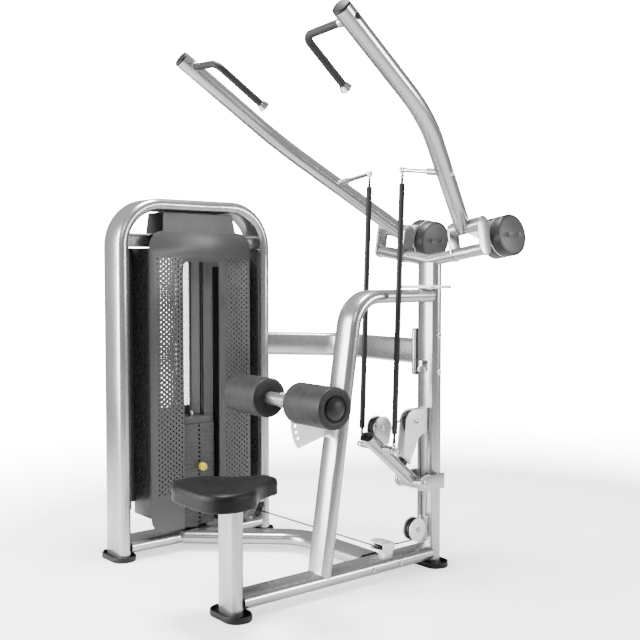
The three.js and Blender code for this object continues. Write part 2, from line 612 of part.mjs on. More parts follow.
function tieRod() {
  const [from, to] = [vector(rodBottom), vector(rodTop)];
  const length = from.distanceTo(to);
  const at = (distance) => from.clone().lerp(to, distance / length).toArray();
  const eye = (centre) => bar([centre[0], ROD.w - 6, centre[2]], [centre[0], ROD.w + 6, centre[2]], ROD.eye, 14);
  const hole = (centre, radius) => bar([centre[0], 0, centre[2]], [centre[0], 200, centre[2]], radius, 12);
  const shank = bar(at(11), at(length - 11), ROD.stud, 8);
  const sleeve = bar(at(86), at(length - 50), ROD.sleeve, 12);
  const collar = bar(at(30), at(62), 7, 6);
  return cut(join(shank, sleeve, collar, eye(rodBottom), eye(rodTop)), hole(rodBottom, 9.5), hole(rodTop, 6));
}

// ---------------------------------------------------------------- arms
const armRoot = new THREE.Vector3(0, ARM.rootS, CROSSBAR.pivotHeight)
  .applyAxisAngle(new THREE.Vector3(1, 0, 0), CROSSBAR_TILT)
  .add(new THREE.Vector3(0, 0, CROSSBAR_Z));
const armDirection = vector(ARM.end).sub(vector(ARM.bend)).normalize();
const along = (start, end, distance) => {
  const direction = vector(end).sub(vector(start)).normalize();
  return vector(start).addScaledVector(direction, distance).toArray();
};

function arm() {
  const axis = CROSSBAR.pivotHeight;
  const { x, s, h, radius, plate } = COUNTERWEIGHT;
  const path = (start, end) => new BentPath([start, ARM.bend, end], ARM_BEND_RADIUS, 4);
  const [root, pastEnd] = [armRoot.toArray(), vector(ARM.end).add(armDirection).toArray()];
  const tube = roundTube(ARM.radius, 0, path(root, ARM.end), 8);
  const tubeBore = roundTube(ARM.radius - ARM.wall, 0, path(along(root, ARM.bend, 42), pastEnd), 8);
  const sleeve = onCrossbar(bar([0, EAR.inner[1] + 0.6, axis], [0, EAR.outer[0] - 0.6, axis], 27));
  const weightPlate = slug(0, axis, 26, x, h, radius + 1);
  const carrier = onCrossbar(plateXZ(weightPlate, s - plate / 2, s + plate / 2, 8));
  const pegRoot = [-241, 304.5, 1552];
  const pegEnd = along(rodTop, pegRoot, 9);
  const peg = bar(along(pegRoot, rodTop, -35), along(pegRoot, rodTop, 82), 13, 12);
  const stud = bar(along(pegRoot, rodTop, 80), pegEnd, 8, 12);
  const collar = bar(HANDLE.root, along(HANDLE.root, HANDLE.bend, 46), 17, 14);
  const plug = bar(HANDLE.root, along(HANDLE.root, HANDLE.bend, -34), 12, 12);
  const shaftBore = onCrossbar(bar([0, 100, axis], [0, 330, axis], SHAFT_RADIUS + GAP));
  return cut(join(tube, sleeve, carrier, peg, stud, collar, plug), tubeBore, shaftBore);
}

function armCap() {
  const inside = ARM.radius - ARM.wall - 1;
  const profile = [[0, -18], [inside, -18], [inside, GAP], [ARM.radius, GAP], [ARM.radius, 4], [ARM.radius - 3, 7], [0, 8]];
  return turned(profile, ARM.end, armDirection.toArray(), 16);
}

function handle() {
  const start = along(HANDLE.root, HANDLE.bend, 46 + GAP);
  return roundTube(HANDLE.radius, 0, new BentPath([start, HANDLE.bend, HANDLE.end], 34, 5), 7);
}

function handleCap() {
  const direction = vector(HANDLE.end).sub(vector(HANDLE.bend));
  return turned([[0, GAP], [15, GAP], [16, 6], [21.5, 20], [21.5, 24], [19, 26], [0, 26]], HANDLE.end, direction.toArray(), 16);
}

function counterweightDisc(inward) {
  const { x, s, h, radius, disc: thickness, plate } = COUNTERWEIGHT;
  const near = plate / 2 + GAP;
  const profile = [[0, near], [radius - 2, near], [radius, near + 2], [radius, near + thickness - 3],
    [radius - 3, near + thickness], [0, near + thickness]];
  return onCrossbar(turned(profile, [x, s, h], [0, inward ? -1 : 1, 0], 24));
}

const pivotShaft = () => onCrossbar(
  bar([0, EAR.inner[0] + 1, CROSSBAR.pivotHeight], [0, EAR.outer[1] - 1, CROSSBAR.pivotHeight], SHAFT_RADIUS));

// ---------------------------------------------------------------- thigh rollers
const polar = ([x, z], radius, angle) => [x - radius * Math.cos(angle), z + radius * Math.sin(angle)];
const padAngle = Math.atan2(PAD_AXLE[1] - PAD_PIVOT[1], PAD_PIVOT[0] - PAD_AXLE[0]);

function padBracket() {
  const [x, z] = PAD_PIVOT;
  const faceX = FRONT_UPRIGHT.footX - 25.3 + FRONT_UPRIGHT.lean * (z - RAIL_TOP);
  const back = block(-8 - GAP, -GAP, -38, 38, -75, 62).rotateY(Math.atan(FRONT_UPRIGHT.lean)).translate(faceX, 0, z);
  const cheek = polygon([[faceX - 1, z + 45], [x - 4, z + 19], [x - 18, z + 8], [x - 18, z - 8], [x - 4, z - 19], [faceX - 14, z - 50]]);
  const sector = new THREE.Shape();
  sector.moveTo(faceX - 12, z - 58);
  sector.lineTo(faceX + 1, z + 47);
  sector.absarc(x, z, SECTOR.radius, Math.PI - 0.7, Math.PI + 0.63, false);
  for (let k = -5; k <= 1; k += 1) {
    const [holeX, holeZ] = polar(PAD_PIVOT, SECTOR.holes, padAngle + k * SECTOR.pitch);
    sector.holes.push(disc(holeX, holeZ, 6));
  }
  const pin = bar([x, -32, z], [x, 32, z], 8, 16);
  return join(back, ...bothSides(plateXZ(cheek, 20, 26)), plateXZ(sector, -3, 3, 4), pin);
}

function padArm() {
  const plates = bothSides(plateXZ(slug(...PAD_PIVOT, 20, ...PAD_AXLE, 26), 8, 14, 6));
  const throughRollers = (radius, reach) =>
    bar([PAD_AXLE[0], -reach, PAD_AXLE[1]], [PAD_AXLE[0], reach, PAD_AXLE[1]], radius, 20);
  const axle = throughRollers(ROLLER.axle, ROLLER.outer - 14);
  const axleBore = throughRollers(ROLLER.axle - 3, ROLLER.outer);
  const [x, z] = polar(PAD_PIVOT, SECTOR.holes, padAngle);
  const boss = bar([x, -34, z], [x, -10, z], 13, 16);
  const plungerBore = bar([x, -50, z], [x, 0, z], 6.3, 16);
  const pivotBore = bar([PAD_PIVOT[0], -30, PAD_PIVOT[1]], [PAD_PIVOT[0], 30, PAD_PIVOT[1]], 8 + GAP, 16);
  return cut(join(...plates, axle, boss), axleBore, plungerBore, pivotBore);
}

function padPlunger() {
  const [x, z] = polar(PAD_PIVOT, SECTOR.holes, padAngle);
  return turned([[0, 4.5], [6, 4.5], [6, 38], [13, 40], [14, 54], [11, 58], [0, 58]], [x, 0, z], [0, -1, 0], 16);
}

function roller() {
  const { radius, inner, outer, axle } = ROLLER;
  const bore = axle + 0.5;
  const profile = [
    [0, outer - 12], [bore, outer - 12], [bore, inner], [radius - 7, inner], [radius, inner + 7],
    [radius, outer - 7], [radius - 7, outer], [44, outer], [40, outer + 7], [24, outer + 13], [0, outer + 15],
  ];
  return turned(profile, [PAD_AXLE[0], 0, PAD_AXLE[1]], [0, 1, 0], 20);
}

// ---------------------------------------------------------------- cable
function cable(corners, radius, steps) {
  return roundTube(CABLE_RADIUS, 0, new BentPath(corners, radius, steps), 4);
}

const sheaveCentre = leverPoint(LEVER_SHEAVE.along, LEVER_SHEAVE.above);
const SHEAVE_WRAP = LEVER_SHEAVE.radius + CABLE_STAND_OFF;

// The straight run over the upright pulley and under the lever's sheave: the points where it
// touches them, as [x, z].
function leverRun() {
  const from = new THREE.Vector2(...UPRIGHT_PULLEY);
  const to = new THREE.Vector2(sheaveCentre.x, sheaveCentre.z);
  const apart = to.clone().sub(from);
  const lift = Math.acos((CABLE_WRAP + SHEAVE_WRAP) / apart.length());
  const outward = apart.clone().normalize().rotateAround(new THREE.Vector2(), -lift);
  const leaves = from.clone().addScaledVector(outward, CABLE_WRAP);
  const meets = to.clone().addScaledVector(outward, -SHEAVE_WRAP);
  const xAt = (z) => leaves.x + ((meets.x - leaves.x) * (z - leaves.y)) / (meets.y - leaves.y);
  return { leaves, meets, xAt };
}

// From the two top pulleys down the tower, along the floor and over the upright pulley.
function mainCable() {
  const top = TOP_PULLEY_Z + SMALL_WRAP;
  const lean = (UPRIGHT_PULLEY[0] - BASE_PULLEY[0]) / (UPRIGHT_PULLEY[1] - BASE_PULLEY[1]);
  const riserX = (z) => BASE_PULLEY[0] + lean * (z - BASE_PULLEY[1]) + CABLE_WRAP * Math.hypot(1, lean);
  const overUpright = UPRIGHT_PULLEY[1] + CABLE_WRAP;
  const { leaves, meets, xAt } = leverRun();
  const end = meets.clone().lerp(leaves, 0.05);
  return cable([
    [TOWER_MID_X, TOWER_Y, TOP_PULLEY_Z + GAP],
    [TOWER_MID_X, TOWER_Y, top],
    [TOP_PULLEYS_X[1] + SMALL_WRAP, TOWER_Y, top],
    [TOWER_PULLEY[0] + 5, TOWER_PULLEY[1] + CABLE_WRAP, CABLE_Z],
    [FLOOR_PULLEY[0] - FLOOR_WRAP, 0, CABLE_Z],
    [riserX(CABLE_Z), 0, CABLE_Z],
    [riserX(overUpright), 0, overUpright],
    [xAt(overUpright), 0, overUpright],
    [end.x, 0, end.y],
  ], [SMALL_WRAP, SMALL_WRAP, CABLE_WRAP, FLOOR_WRAP, CABLE_WRAP, CABLE_WRAP, CABLE_WRAP], 5);
}

// Round the underside of the lever's sheave, where the cable is anchored.
function leverCable() {
  const { leaves, meets, xAt } = leverRun();
  const start = meets.clone().lerp(leaves, 0.04);
  const under = sheaveCentre.z - SHEAVE_WRAP;
  return cable([
    [start.x, 0, start.y],
    [xAt(under), 0, under],
    [sheaveCentre.x - SHEAVE_WRAP, 0, under],
    [sheaveCentre.x - SHEAVE_WRAP, 0, sheaveCentre.z + 4],
  ], SHEAVE_WRAP, 5);
}

const stackCable = () => cable([[TOWER_MID_X, TOWER_Y, 590 + GAP], [TOWER_MID_X, TOWER_Y, TOP_PULLEY_Z]], 0, 0);

// ---------------------------------------------------------------- assembly
add("base_rail", baseRail(), "frame");
add("seat_post", seatPost(), "frame");
add("rear_upright", rearUpright(), "frame");
add("front_upright", frontUpright(), "frame");
add("crossbar", crossbar(), "frame");
add("collar_plate", collarPlate(), "plate");
add("seat_cushion", seatCushion(), "leather");
const FEET = {
  foot_seat: [SEAT_POST_X, 0],
  foot_rear: [0, 0],
  foot_tower_front: [TOWER_FRONT_X, TOWER_Y],
  foot_tower_rear: [TOWER_REAR_X, TOWER_Y],
};
for (const [name, [x, y]] of Object.entries(FEET)) add(name, foot(), "black_rubber", [x, y, 0]);

add("tower_loop", towerLoop(), "frame");
add("tower_rail", towerRail(), "frame");
add("front_shroud", frontShroud(), "shroud");
add("rear_shroud", rearShroud(), "shroud");
add("pulley_cover", pulleyCover(), "cover");
add("upper_link_tube", linkTube(), "frame");
add("floor_link_tube", floorLinkTube(), "frame");

GUIDE_RODS_X.forEach((x, k) => add(`guide_rod_${k + 1}`,
  bar([x, TOWER_Y, RAIL_TOP + GAP], [x, TOWER_Y, CROSS_PLATE_Z - CROSS_BEAM.depth - GAP], GUIDE_ROD.radius, 16), "chrome"));
add("stack_resting_plates", restingPlates(), "iron");
add("stack_lifted_plates", liftedPlates(), "iron");
add("selector_pin", selectorPin(), "yellow");

add("upright_pulley_bracket", uprightPulleyBracket(), "plate");
add("bumper", bumper(), "black_rubber");
add("base_pulley_bracket", basePulleyBracket(), "plate");
add("floor_pulley_housing", floorPulleyHousing(), "plate");
const ALONG_Y = [0, 1, 0];
add("top_pulley_1", pulley(ALONG_Y, SMALL_PULLEY_RADIUS), "pulley", [TOP_PULLEYS_X[0], TOWER_Y, TOP_PULLEY_Z]);
add("top_pulley_2", pulley(ALONG_Y, SMALL_PULLEY_RADIUS), "pulley", [TOP_PULLEYS_X[1], TOWER_Y, TOP_PULLEY_Z]);
add("tower_pulley", pulley([1, 0, 0]).rotateY(TOWER_PULLEY_TILT), "pulley", TOWER_PULLEY);
add("floor_pulley", pulley([0, 0, 1], FLOOR_PULLEY_RADIUS), "pulley", [...FLOOR_PULLEY, CABLE_Z]);
add("base_pulley", pulley(ALONG_Y), "pulley", [BASE_PULLEY[0], 0, BASE_PULLEY[1]]);
add("upright_pulley", pulley(ALONG_Y), "pulley", [UPRIGHT_PULLEY[0], 0, UPRIGHT_PULLEY[1]]);

add("lever_shaft", bar([LEVER.x, -71.5, LEVER.z], [LEVER.x, 71.5, LEVER.z], SHAFT_RADIUS), "steel");
add("lever", lever(), "frame");
add("lever_pulley", pulley(ALONG_Y, LEVER_SHEAVE.radius), "pulley", sheaveCentre.toArray());

add("pad_bracket", padBracket(), "plate");
add("pad_arm", padArm(), "frame");
add("pad_plunger", padPlunger(), "steel");

for (const [side, place] of [["left", (geometry) => geometry], ["right", mirrored]]) {
  add(`pivot_shaft_${side}`, place(pivotShaft()), "steel");
  add(`arm_${side}`, place(arm()), "frame");
  add(`arm_cap_${side}`, place(armCap()), "black_rubber");
  add(`handle_${side}`, place(handle()), "grip");
  add(`handle_cap_${side}`, place(handleCap()), "chrome");
  add(`counterweight_${side}_outer`, place(counterweightDisc(false)), "iron");
  add(`counterweight_${side}_inner`, place(counterweightDisc(true)), "iron");
  add(`tie_rod_${side}`, place(tieRod()), "steel");
  add(`thigh_roller_${side}`, place(roller()), "pad");
}

add("main_cable", mainCable(), "cable");
add("lever_cable", leverCable(), "cable");
add("stack_cable", stackCable(), "cable");

export default machine;
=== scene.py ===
"""Looks of the lat pulldown machine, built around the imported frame. Lengths in this script are in
millimetres until a mesh is made, and metres in Blender."""

import math

import bmesh
import bpy
from mathutils import Matrix, Vector


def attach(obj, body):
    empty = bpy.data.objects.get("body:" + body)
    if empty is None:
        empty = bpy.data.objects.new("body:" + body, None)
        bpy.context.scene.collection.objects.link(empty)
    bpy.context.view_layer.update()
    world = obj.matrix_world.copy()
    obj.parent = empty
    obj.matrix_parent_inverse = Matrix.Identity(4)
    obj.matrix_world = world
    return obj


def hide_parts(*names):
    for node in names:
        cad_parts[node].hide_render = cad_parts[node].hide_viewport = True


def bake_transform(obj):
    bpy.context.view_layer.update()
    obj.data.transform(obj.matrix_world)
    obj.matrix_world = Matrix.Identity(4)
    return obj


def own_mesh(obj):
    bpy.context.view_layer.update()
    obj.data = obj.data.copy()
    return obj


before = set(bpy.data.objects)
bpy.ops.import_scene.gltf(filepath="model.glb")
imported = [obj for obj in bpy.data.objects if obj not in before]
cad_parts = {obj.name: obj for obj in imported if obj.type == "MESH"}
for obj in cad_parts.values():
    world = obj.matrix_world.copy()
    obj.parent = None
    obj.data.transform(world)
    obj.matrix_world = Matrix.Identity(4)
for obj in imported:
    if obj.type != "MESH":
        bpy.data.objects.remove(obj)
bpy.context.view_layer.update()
MM = 0.001


# ---- camera
def add_camera():
    place = Vector((-2.809, -2.7255, 1.19))
    azimuth = math.radians(39.3525)
    drop = math.radians(2.823)
    camera = bpy.data.objects.new("camera", bpy.data.cameras.new("camera"))
    camera.data.lens = 54.04
    camera.data.sensor_width = 36
    level = math.cos(drop)
    heading = Vector((math.sin(azimuth) * level, math.cos(azimuth) * level, -math.sin(drop)))
    camera.rotation_euler = heading.to_track_quat("-Z", "Y").to_euler()
    camera.location = place
    bpy.context.scene.collection.objects.link(camera)
    bpy.context.scene.camera = camera


add_camera()

# ---- driving dimensions, as in the CAD
CLEAR = 0.3
MAIN = dict(width=110, flat=74, thickness=50)
TOWER = dict(width=150, flat=110, thickness=50)
LINK = dict(width=104, flat=72, thickness=44)
LEVER_TUBE = dict(width=70, flat=44, thickness=40)
POST_FOOT_Z = 10.3
INSIDE_REAR_X = -24
POST_FACE = 25.3
RAIL_Z = 53.5
RAIL_TOP = 78.5
FRONT_FOOT_X, FRONT_LEAN = -575.5, 0.153
SEAT_POST_X = -973
SEAT_BOTTOM = 409
CROSSBAR_Z = 1238
CROSSBAR_TILT = math.atan(0.152)
PIVOT_HEIGHT = 98
EAR_RADIUS = 28
ARM_ROOT_S = 195
ARM_BEND = Vector((-451.3, 418.5, 1717))
ARM_END = Vector((-871, 466, 1999.5))
HANDLE = [Vector((-832, 461.6, 1973)), Vector((-851, 261.5, 1953)), Vector((-669.8, 237.6, 1825.7))]
WEIGHT_X, WEIGHT_S, WEIGHT_H = 198.6, 222, 62.3
LEVER_X, LEVER_Z = -95, 352
LEVER_ANGLE = math.radians(40.1)
LEVER_PIN = 248.4
SHEAVE_ALONG, SHEAVE_ABOVE, SHEAVE_RADIUS = -291.2, 63.3, 41
ROD_W = 92
ROD_TOP = Vector((-246, ROD_W, 1578))
PULLEY_RADIUS, SMALL_PULLEY = 45, 38
CABLE_RADIUS, STAND_OFF = 3, -2
WRAP, SMALL_WRAP = PULLEY_RADIUS + STAND_OFF, SMALL_PULLEY + STAND_OFF
UPRIGHT_PULLEY = (-97, 594)
BASE_PULLEY = (-81, 156)
CABLE_Z = BASE_PULLEY[1] - WRAP
FLOOR_PULLEY_RADIUS = 30
AXLE_RADIUS = 6
SHAFT_BORE = 12.3
CHEEKS = ((-22, -16), (16, 22))
FLOOR_CHEEKS = ((-16, -11), (11, 16))
TOWER_CHEEKS = ((-15, -11), (11, 15))
FLOOR_WRAP = FLOOR_PULLEY_RADIUS + STAND_OFF
FLOOR_PULLEY = (-239, FLOOR_WRAP)
TOWER_PULLEY = (-291, 800, BASE_PULLEY[1])
TOWER_PULLEY_TILT = -0.112
TOWER_Y, TOWER_TOP = 866, 1474
TOWER_FRONT_X, TOWER_REAR_X = -948.5, -239
INNER_FRONT, INNER_REAR = TOWER_FRONT_X + 25, TOWER_REAR_X - 25
TOWER_MID_X = (TOWER_FRONT_X + TOWER_REAR_X) / 2
TOP_PLATE_Z = 1345
BEAM_DEPTH = 48
TOP_PULLEYS_X = (TOWER_MID_X + SMALL_WRAP, TOWER_MID_X + 131)
TOP_PULLEY_Z = 1398
GUIDE_SPREAD = 55
PIN_Z = 355
PAD_PIVOT = (-545, 650)
PAD_AXLE = (-741, 734)
PAD_ANGLE = math.atan2(84, 196)
HOLE_ARC, HOLE_PITCH = 146, math.radians(9.5)
X_AXIS, Y_AXIS, Z_AXIS = Vector((1, 0, 0)), Vector((0, 1, 0)), Vector((0, 0, 1))


# ---- materials
class Nodes:
    """A Principled material with helpers that add what it reads."""

    def __init__(self, name, roughness, metallic=0.0, **constants):
        self.material = bpy.data.materials.new(name)
        self.material.use_nodes = True
        self.tree = self.material.node_tree
        self.shader = self.tree.nodes["Principled BSDF"]
        self.shader.inputs["Roughness"].default_value = roughness
        self.shader.inputs["Metallic"].default_value = metallic
        for socket, value in constants.items():
            self.shader.inputs[socket.replace("_", " ")].default_value = value
        self.coords = self.add("ShaderNodeTexCoord").outputs["Object"]

    def add(self, kind, **values):
        node = self.tree.nodes.new(kind)
        for key, value in values.items():
            if key in node.inputs:
                node.inputs[key].default_value = value
            else:
                setattr(node, key, value)
        return node

    def link(self, source, target):
        self.tree.links.new(source, target)

    def noise(self, scale, detail=4.0, roughness=0.55, stretch=None):
        node = self.add("ShaderNodeTexNoise", Scale=scale, Detail=detail, Roughness=roughness)
        source = self.coords
        if stretch:
            mapping = self.add("ShaderNodeMapping", Scale=stretch)
            self.link(source, mapping.inputs["Vector"])
            source = mapping.outputs["Vector"]
        self.link(source, node.inputs["Vector"])
        return node.outputs["Fac"]

    def cells(self, scale, feature="DISTANCE_TO_EDGE"):
        node = self.add("ShaderNodeTexVoronoi", feature=feature, Scale=scale)
        self.link(self.coords, node.inputs["Vector"])
        return node.outputs["Distance"]

    def colour(self, factor, low, high, start=0.3, stop=0.7):
        ramp = self.add("ShaderNodeValToRGB")
        ramp.color_ramp.elements[0].color = (*low, 1)
        ramp.color_ramp.elements[1].color = (*high, 1)
        ramp.color_ramp.elements[0].position = start
        ramp.color_ramp.elements[1].position = stop
        self.link(factor, ramp.inputs["Fac"])
        self.link(ramp.outputs["Color"], self.shader.inputs["Base Color"])

    def remap(self, source, low, high, start=0.0, stop=1.0):
        """Takes the span from start to stop onto the span from low to high."""
        node = self.add("ShaderNodeMapRange")
        ends = {"From Min": start, "From Max": stop, "To Min": low, "To Max": high}
        for socket, value in ends.items():
            node.inputs[socket].default_value = value
        self.link(source, node.inputs["Value"])
        return node.outputs["Result"]

    def roughness(self, factor, low, high):
        self.link(self.remap(factor, low, high), self.shader.inputs["Roughness"])

    def bump(self, factor, strength, distance):
        node = self.add("ShaderNodeBump", Strength=strength, Distance=distance)
        self.link(factor, node.inputs["Height"])
        previous = self.shader.inputs["Normal"].links
        if previous:
            self.link(previous[0].from_socket, node.inputs["Normal"])
        self.link(node.outputs["Normal"], self.shader.inputs["Normal"])

    def fade(self, near, far, most):
        """Solid by as much as most out to near metres from the origin, and clear beyond far metres."""
        distance = self.add("ShaderNodeVectorMath", operation="LENGTH")
        self.link(self.coords, distance.inputs[0])
        alpha = self.remap(distance.outputs["Value"], most, 0.0, near, far)
        self.link(alpha, self.shader.inputs["Alpha"])


def powder_coat(name, low, high, metallic, roughness):
    """Satin powder coat: a metal flake in the colour and the faint orange peel of a sprayed coat."""
    nodes = Nodes(name, roughness, metallic, Coat_Weight=0.25, Coat_Roughness=0.25)
    nodes.colour(nodes.noise(900, 2), low, high, 0.2, 0.8)
    nodes.roughness(nodes.noise(6, 5), roughness - 0.05, roughness + 0.07)
    nodes.bump(nodes.noise(260, 3), 0.03, 0.0003)
    nodes.bump(nodes.noise(1500, 2), 0.02, 0.0001)
    return nodes.material


def moulded(name, low, high, roughness, grain=500, depth=0.2, **constants):
    """Moulded rubber or plastic with a fine grain and slightly uneven gloss."""
    nodes = Nodes(name, roughness, **constants)
    nodes.colour(nodes.noise(18, 6), low, high)
    nodes.roughness(nodes.noise(9, 4), roughness - 0.08, roughness + 0.08)
    nodes.bump(nodes.noise(grain, 3), depth, 0.0005)
    return nodes.material


def upholstery(name, low, high):
    """Vinyl: small pebbled cells, softened by a wider unevenness."""
    nodes = Nodes(name, 0.45, Specular_IOR_Level=0.12)
    nodes.colour(nodes.noise(30, 5), low, high)
    nodes.roughness(nodes.noise(14, 4), 0.36, 0.52)
    nodes.bump(nodes.cells(620), 0.35, 0.0005)
    nodes.bump(nodes.noise(35, 3), 0.1, 0.002)
    return nodes.material


def bare_metal(name, low, high, roughness, stretch):
    """Turned or drawn metal with fine lines along one direction."""
    nodes = Nodes(name, roughness, 1.0)
    nodes.colour(nodes.noise(120, 4, stretch=stretch), low, high)
    nodes.roughness(nodes.noise(90, 4, stretch=stretch), roughness * 0.7, roughness * 1.4)
    nodes.bump(nodes.noise(700, 3, stretch=stretch), 0.06, 0.0003)
    return nodes.material


def knurled(name, low, high):
    """Grip rubber with a tight diamond texture."""
    nodes = Nodes(name, 0.62, Specular_IOR_Level=0.3)
    nodes.colour(nodes.noise(50, 4), low, high)
    nodes.roughness(nodes.noise(25, 4), 0.55, 0.72)
    nodes.bump(nodes.cells(420, "F1"), 0.15, 0.0005)
    return nodes.material


MATERIALS = {
    "frame_paint": powder_coat("silver_paint", (0.295, 0.295, 0.299), (0.335, 0.335, 0.339), 0.84, 0.24),
    "plate_paint": powder_coat("pale_paint", (0.5, 0.505, 0.51), (0.62, 0.625, 0.63), 0.35, 0.34),
    "shroud_paint": powder_coat("guard_paint", (0.021, 0.021, 0.0215), (0.032, 0.032, 0.0325), 0.1, 0.55),
    # The pale colour on the next line is painted light: it stands for the lit inner face of the dark rear
    # guard, not a paint of its own.
    "lit_panel_paint": powder_coat("lit_panel_paint", (0.3, 0.3, 0.303), (0.38, 0.38, 0.383), 0.1, 0.6),
    # This paler plastic is painted light: it makes the pulley cover's front face lighter than its dark
    # sides.
    "cover_plastic": moulded("cover_plastic", (0.04, 0.04, 0.041), (0.052, 0.052, 0.053), 0.5),
    "black_rubber": moulded("black_rubber", (0.003, 0.003, 0.003), (0.006, 0.006, 0.006), 0.5, 700, 0.35,
                            Specular_IOR_Level=0.25),
    "grip_rubber": knurled("grip_rubber", (0.006, 0.006, 0.006), (0.012, 0.012, 0.012)),
    "pad_foam": upholstery("roller_skin", (0.013, 0.013, 0.013), (0.021, 0.021, 0.021)),
    "upholstery": upholstery("seat_vinyl", (0.003, 0.003, 0.003), (0.006, 0.006, 0.006)),
    "cast_iron": moulded("cast_iron_paint", (0.007, 0.007, 0.008), (0.014, 0.014, 0.015), 0.45, 320, 0.3,
                         Specular_IOR_Level=0.3),
    "disc_face": moulded("disc_face_paint", (0.032, 0.032, 0.033), (0.044, 0.044, 0.045), 0.45, 420, 0.2,
                         Specular_IOR_Level=0.3),
    "chrome": bare_metal("chrome", (0.62, 0.63, 0.64), (0.72, 0.73, 0.74), 0.09, (1, 1, 1)),
    "steel": bare_metal("plated_steel", (0.42, 0.43, 0.44), (0.56, 0.57, 0.58), 0.24, (1, 1, 9)),
    "oiled_steel": bare_metal("oiled_steel", (0.05, 0.05, 0.052), (0.08, 0.08, 0.082), 0.4, (1, 1, 9)),
    "pulley_plastic": moulded("pulley_nylon", (0.004, 0.004, 0.004), (0.008, 0.008, 0.008), 0.36,
                              Specular_IOR_Level=0.3),
    "cable_jacket": moulded("cable_jacket", (0.006, 0.006, 0.006), (0.012, 0.012, 0.012), 0.42, 1200, 0.3),
    "yellow_plastic": moulded("yellow_knob", (0.44, 0.3, 0.001), (0.52, 0.37, 0.002), 0.32, Coat_Weight=0.3),
}


# ---- outlines, all as lists of (x, y)
def arc(x, y, radius, start, stop, count=16):
    turn = (stop - start) / count
    angles = [start + k * turn for k in range(count + 1)]
    return [(x + radius * math.cos(angle), y + radius * math.sin(angle)) for angle in angles]


def circle(x, y, radius, count=32):
    return arc(x, y, radius, 0, 2 * math.pi, count)[:-1]


def slug(x1, y1, r1, x2, y2, r2=None):
    """The outline round two circles and their common tangents."""
    r2 = r1 if r2 is None else r2
    heading = math.atan2(y2 - y1, x2 - x1)
    spread = math.acos((r1 - r2) / math.hypot(x2 - x1, y2 - y1))
    first = arc(x1, y1, r1, heading + spread, heading - spread + 2 * math.pi, 24)
    return first + arc(x2, y2, r2, heading - spread, heading + spread, 24)


def rectangle(x0, x1, y0, y1):
    return [(x0, y0), (x1, y0), (x1, y1), (x0, y1)]


def rounded_rectangle(x0, x1, y0, y1, radius, count=8):
    quarter = math.pi / 2
    left, right, low, high = x0 + radius, x1 - radius, y0 + radius, y1 - radius
    corners = [(right, high), (left, high), (left, low), (right, low)]
    points = []
    for k, (x, y) in enumerate(corners):
        points += arc(x, y, radius, k * quarter, (k + 1) * quarter, count)
    return points


def oval(width, flat, thickness, count=10):
    """The frame tubes' section: two flats and two bulging ends, the width along x."""
    bulge = (width - flat) / 2
    radius = (thickness**2 / 4 + bulge**2) / (2 * bulge)
    reach = math.asin(thickness / 2 / radius)
    offset = flat / 2 + bulge - radius
    right = arc(offset, 0, radius, -reach, reach, count)
    left = arc(-offset, 0, radius, math.pi - reach, math.pi + reach, count)
    return right + left


# ---- paths
def bent_path(corners, radii=0, steps=12):
    """Stations (point, heading) along straight runs that are joined by arcs."""
    corners = [Vector(c) for c in corners]
    stations = [(corners[0], (corners[1] - corners[0]).normalized())]
    for i in range(1, len(corners) - 1):
        radius = radii[i - 1] if isinstance(radii, (list, tuple)) else radii
        arrive = (corners[i] - corners[i - 1]).normalized()
        leave = (corners[i + 1] - corners[i]).normalized()
        turn = arrive.angle(leave)
        inward = (leave - arrive * arrive.dot(leave)).normalized()
        start = corners[i] - arrive * radius * math.tan(turn / 2)
        for k in range(steps + 1):
            angle = turn * k / steps
            point = start + arrive * radius * math.sin(angle) + inward * radius * (1 - math.cos(angle))
            stations.append((point, (arrive * math.cos(angle) + inward * math.sin(angle)).normalized()))
    stations.append((corners[-1], (corners[-1] - corners[-2]).normalized()))
    return stations


def along(start, end, distance):
    start, end = Vector(start), Vector(end)
    return start + (end - start).normalized() * distance


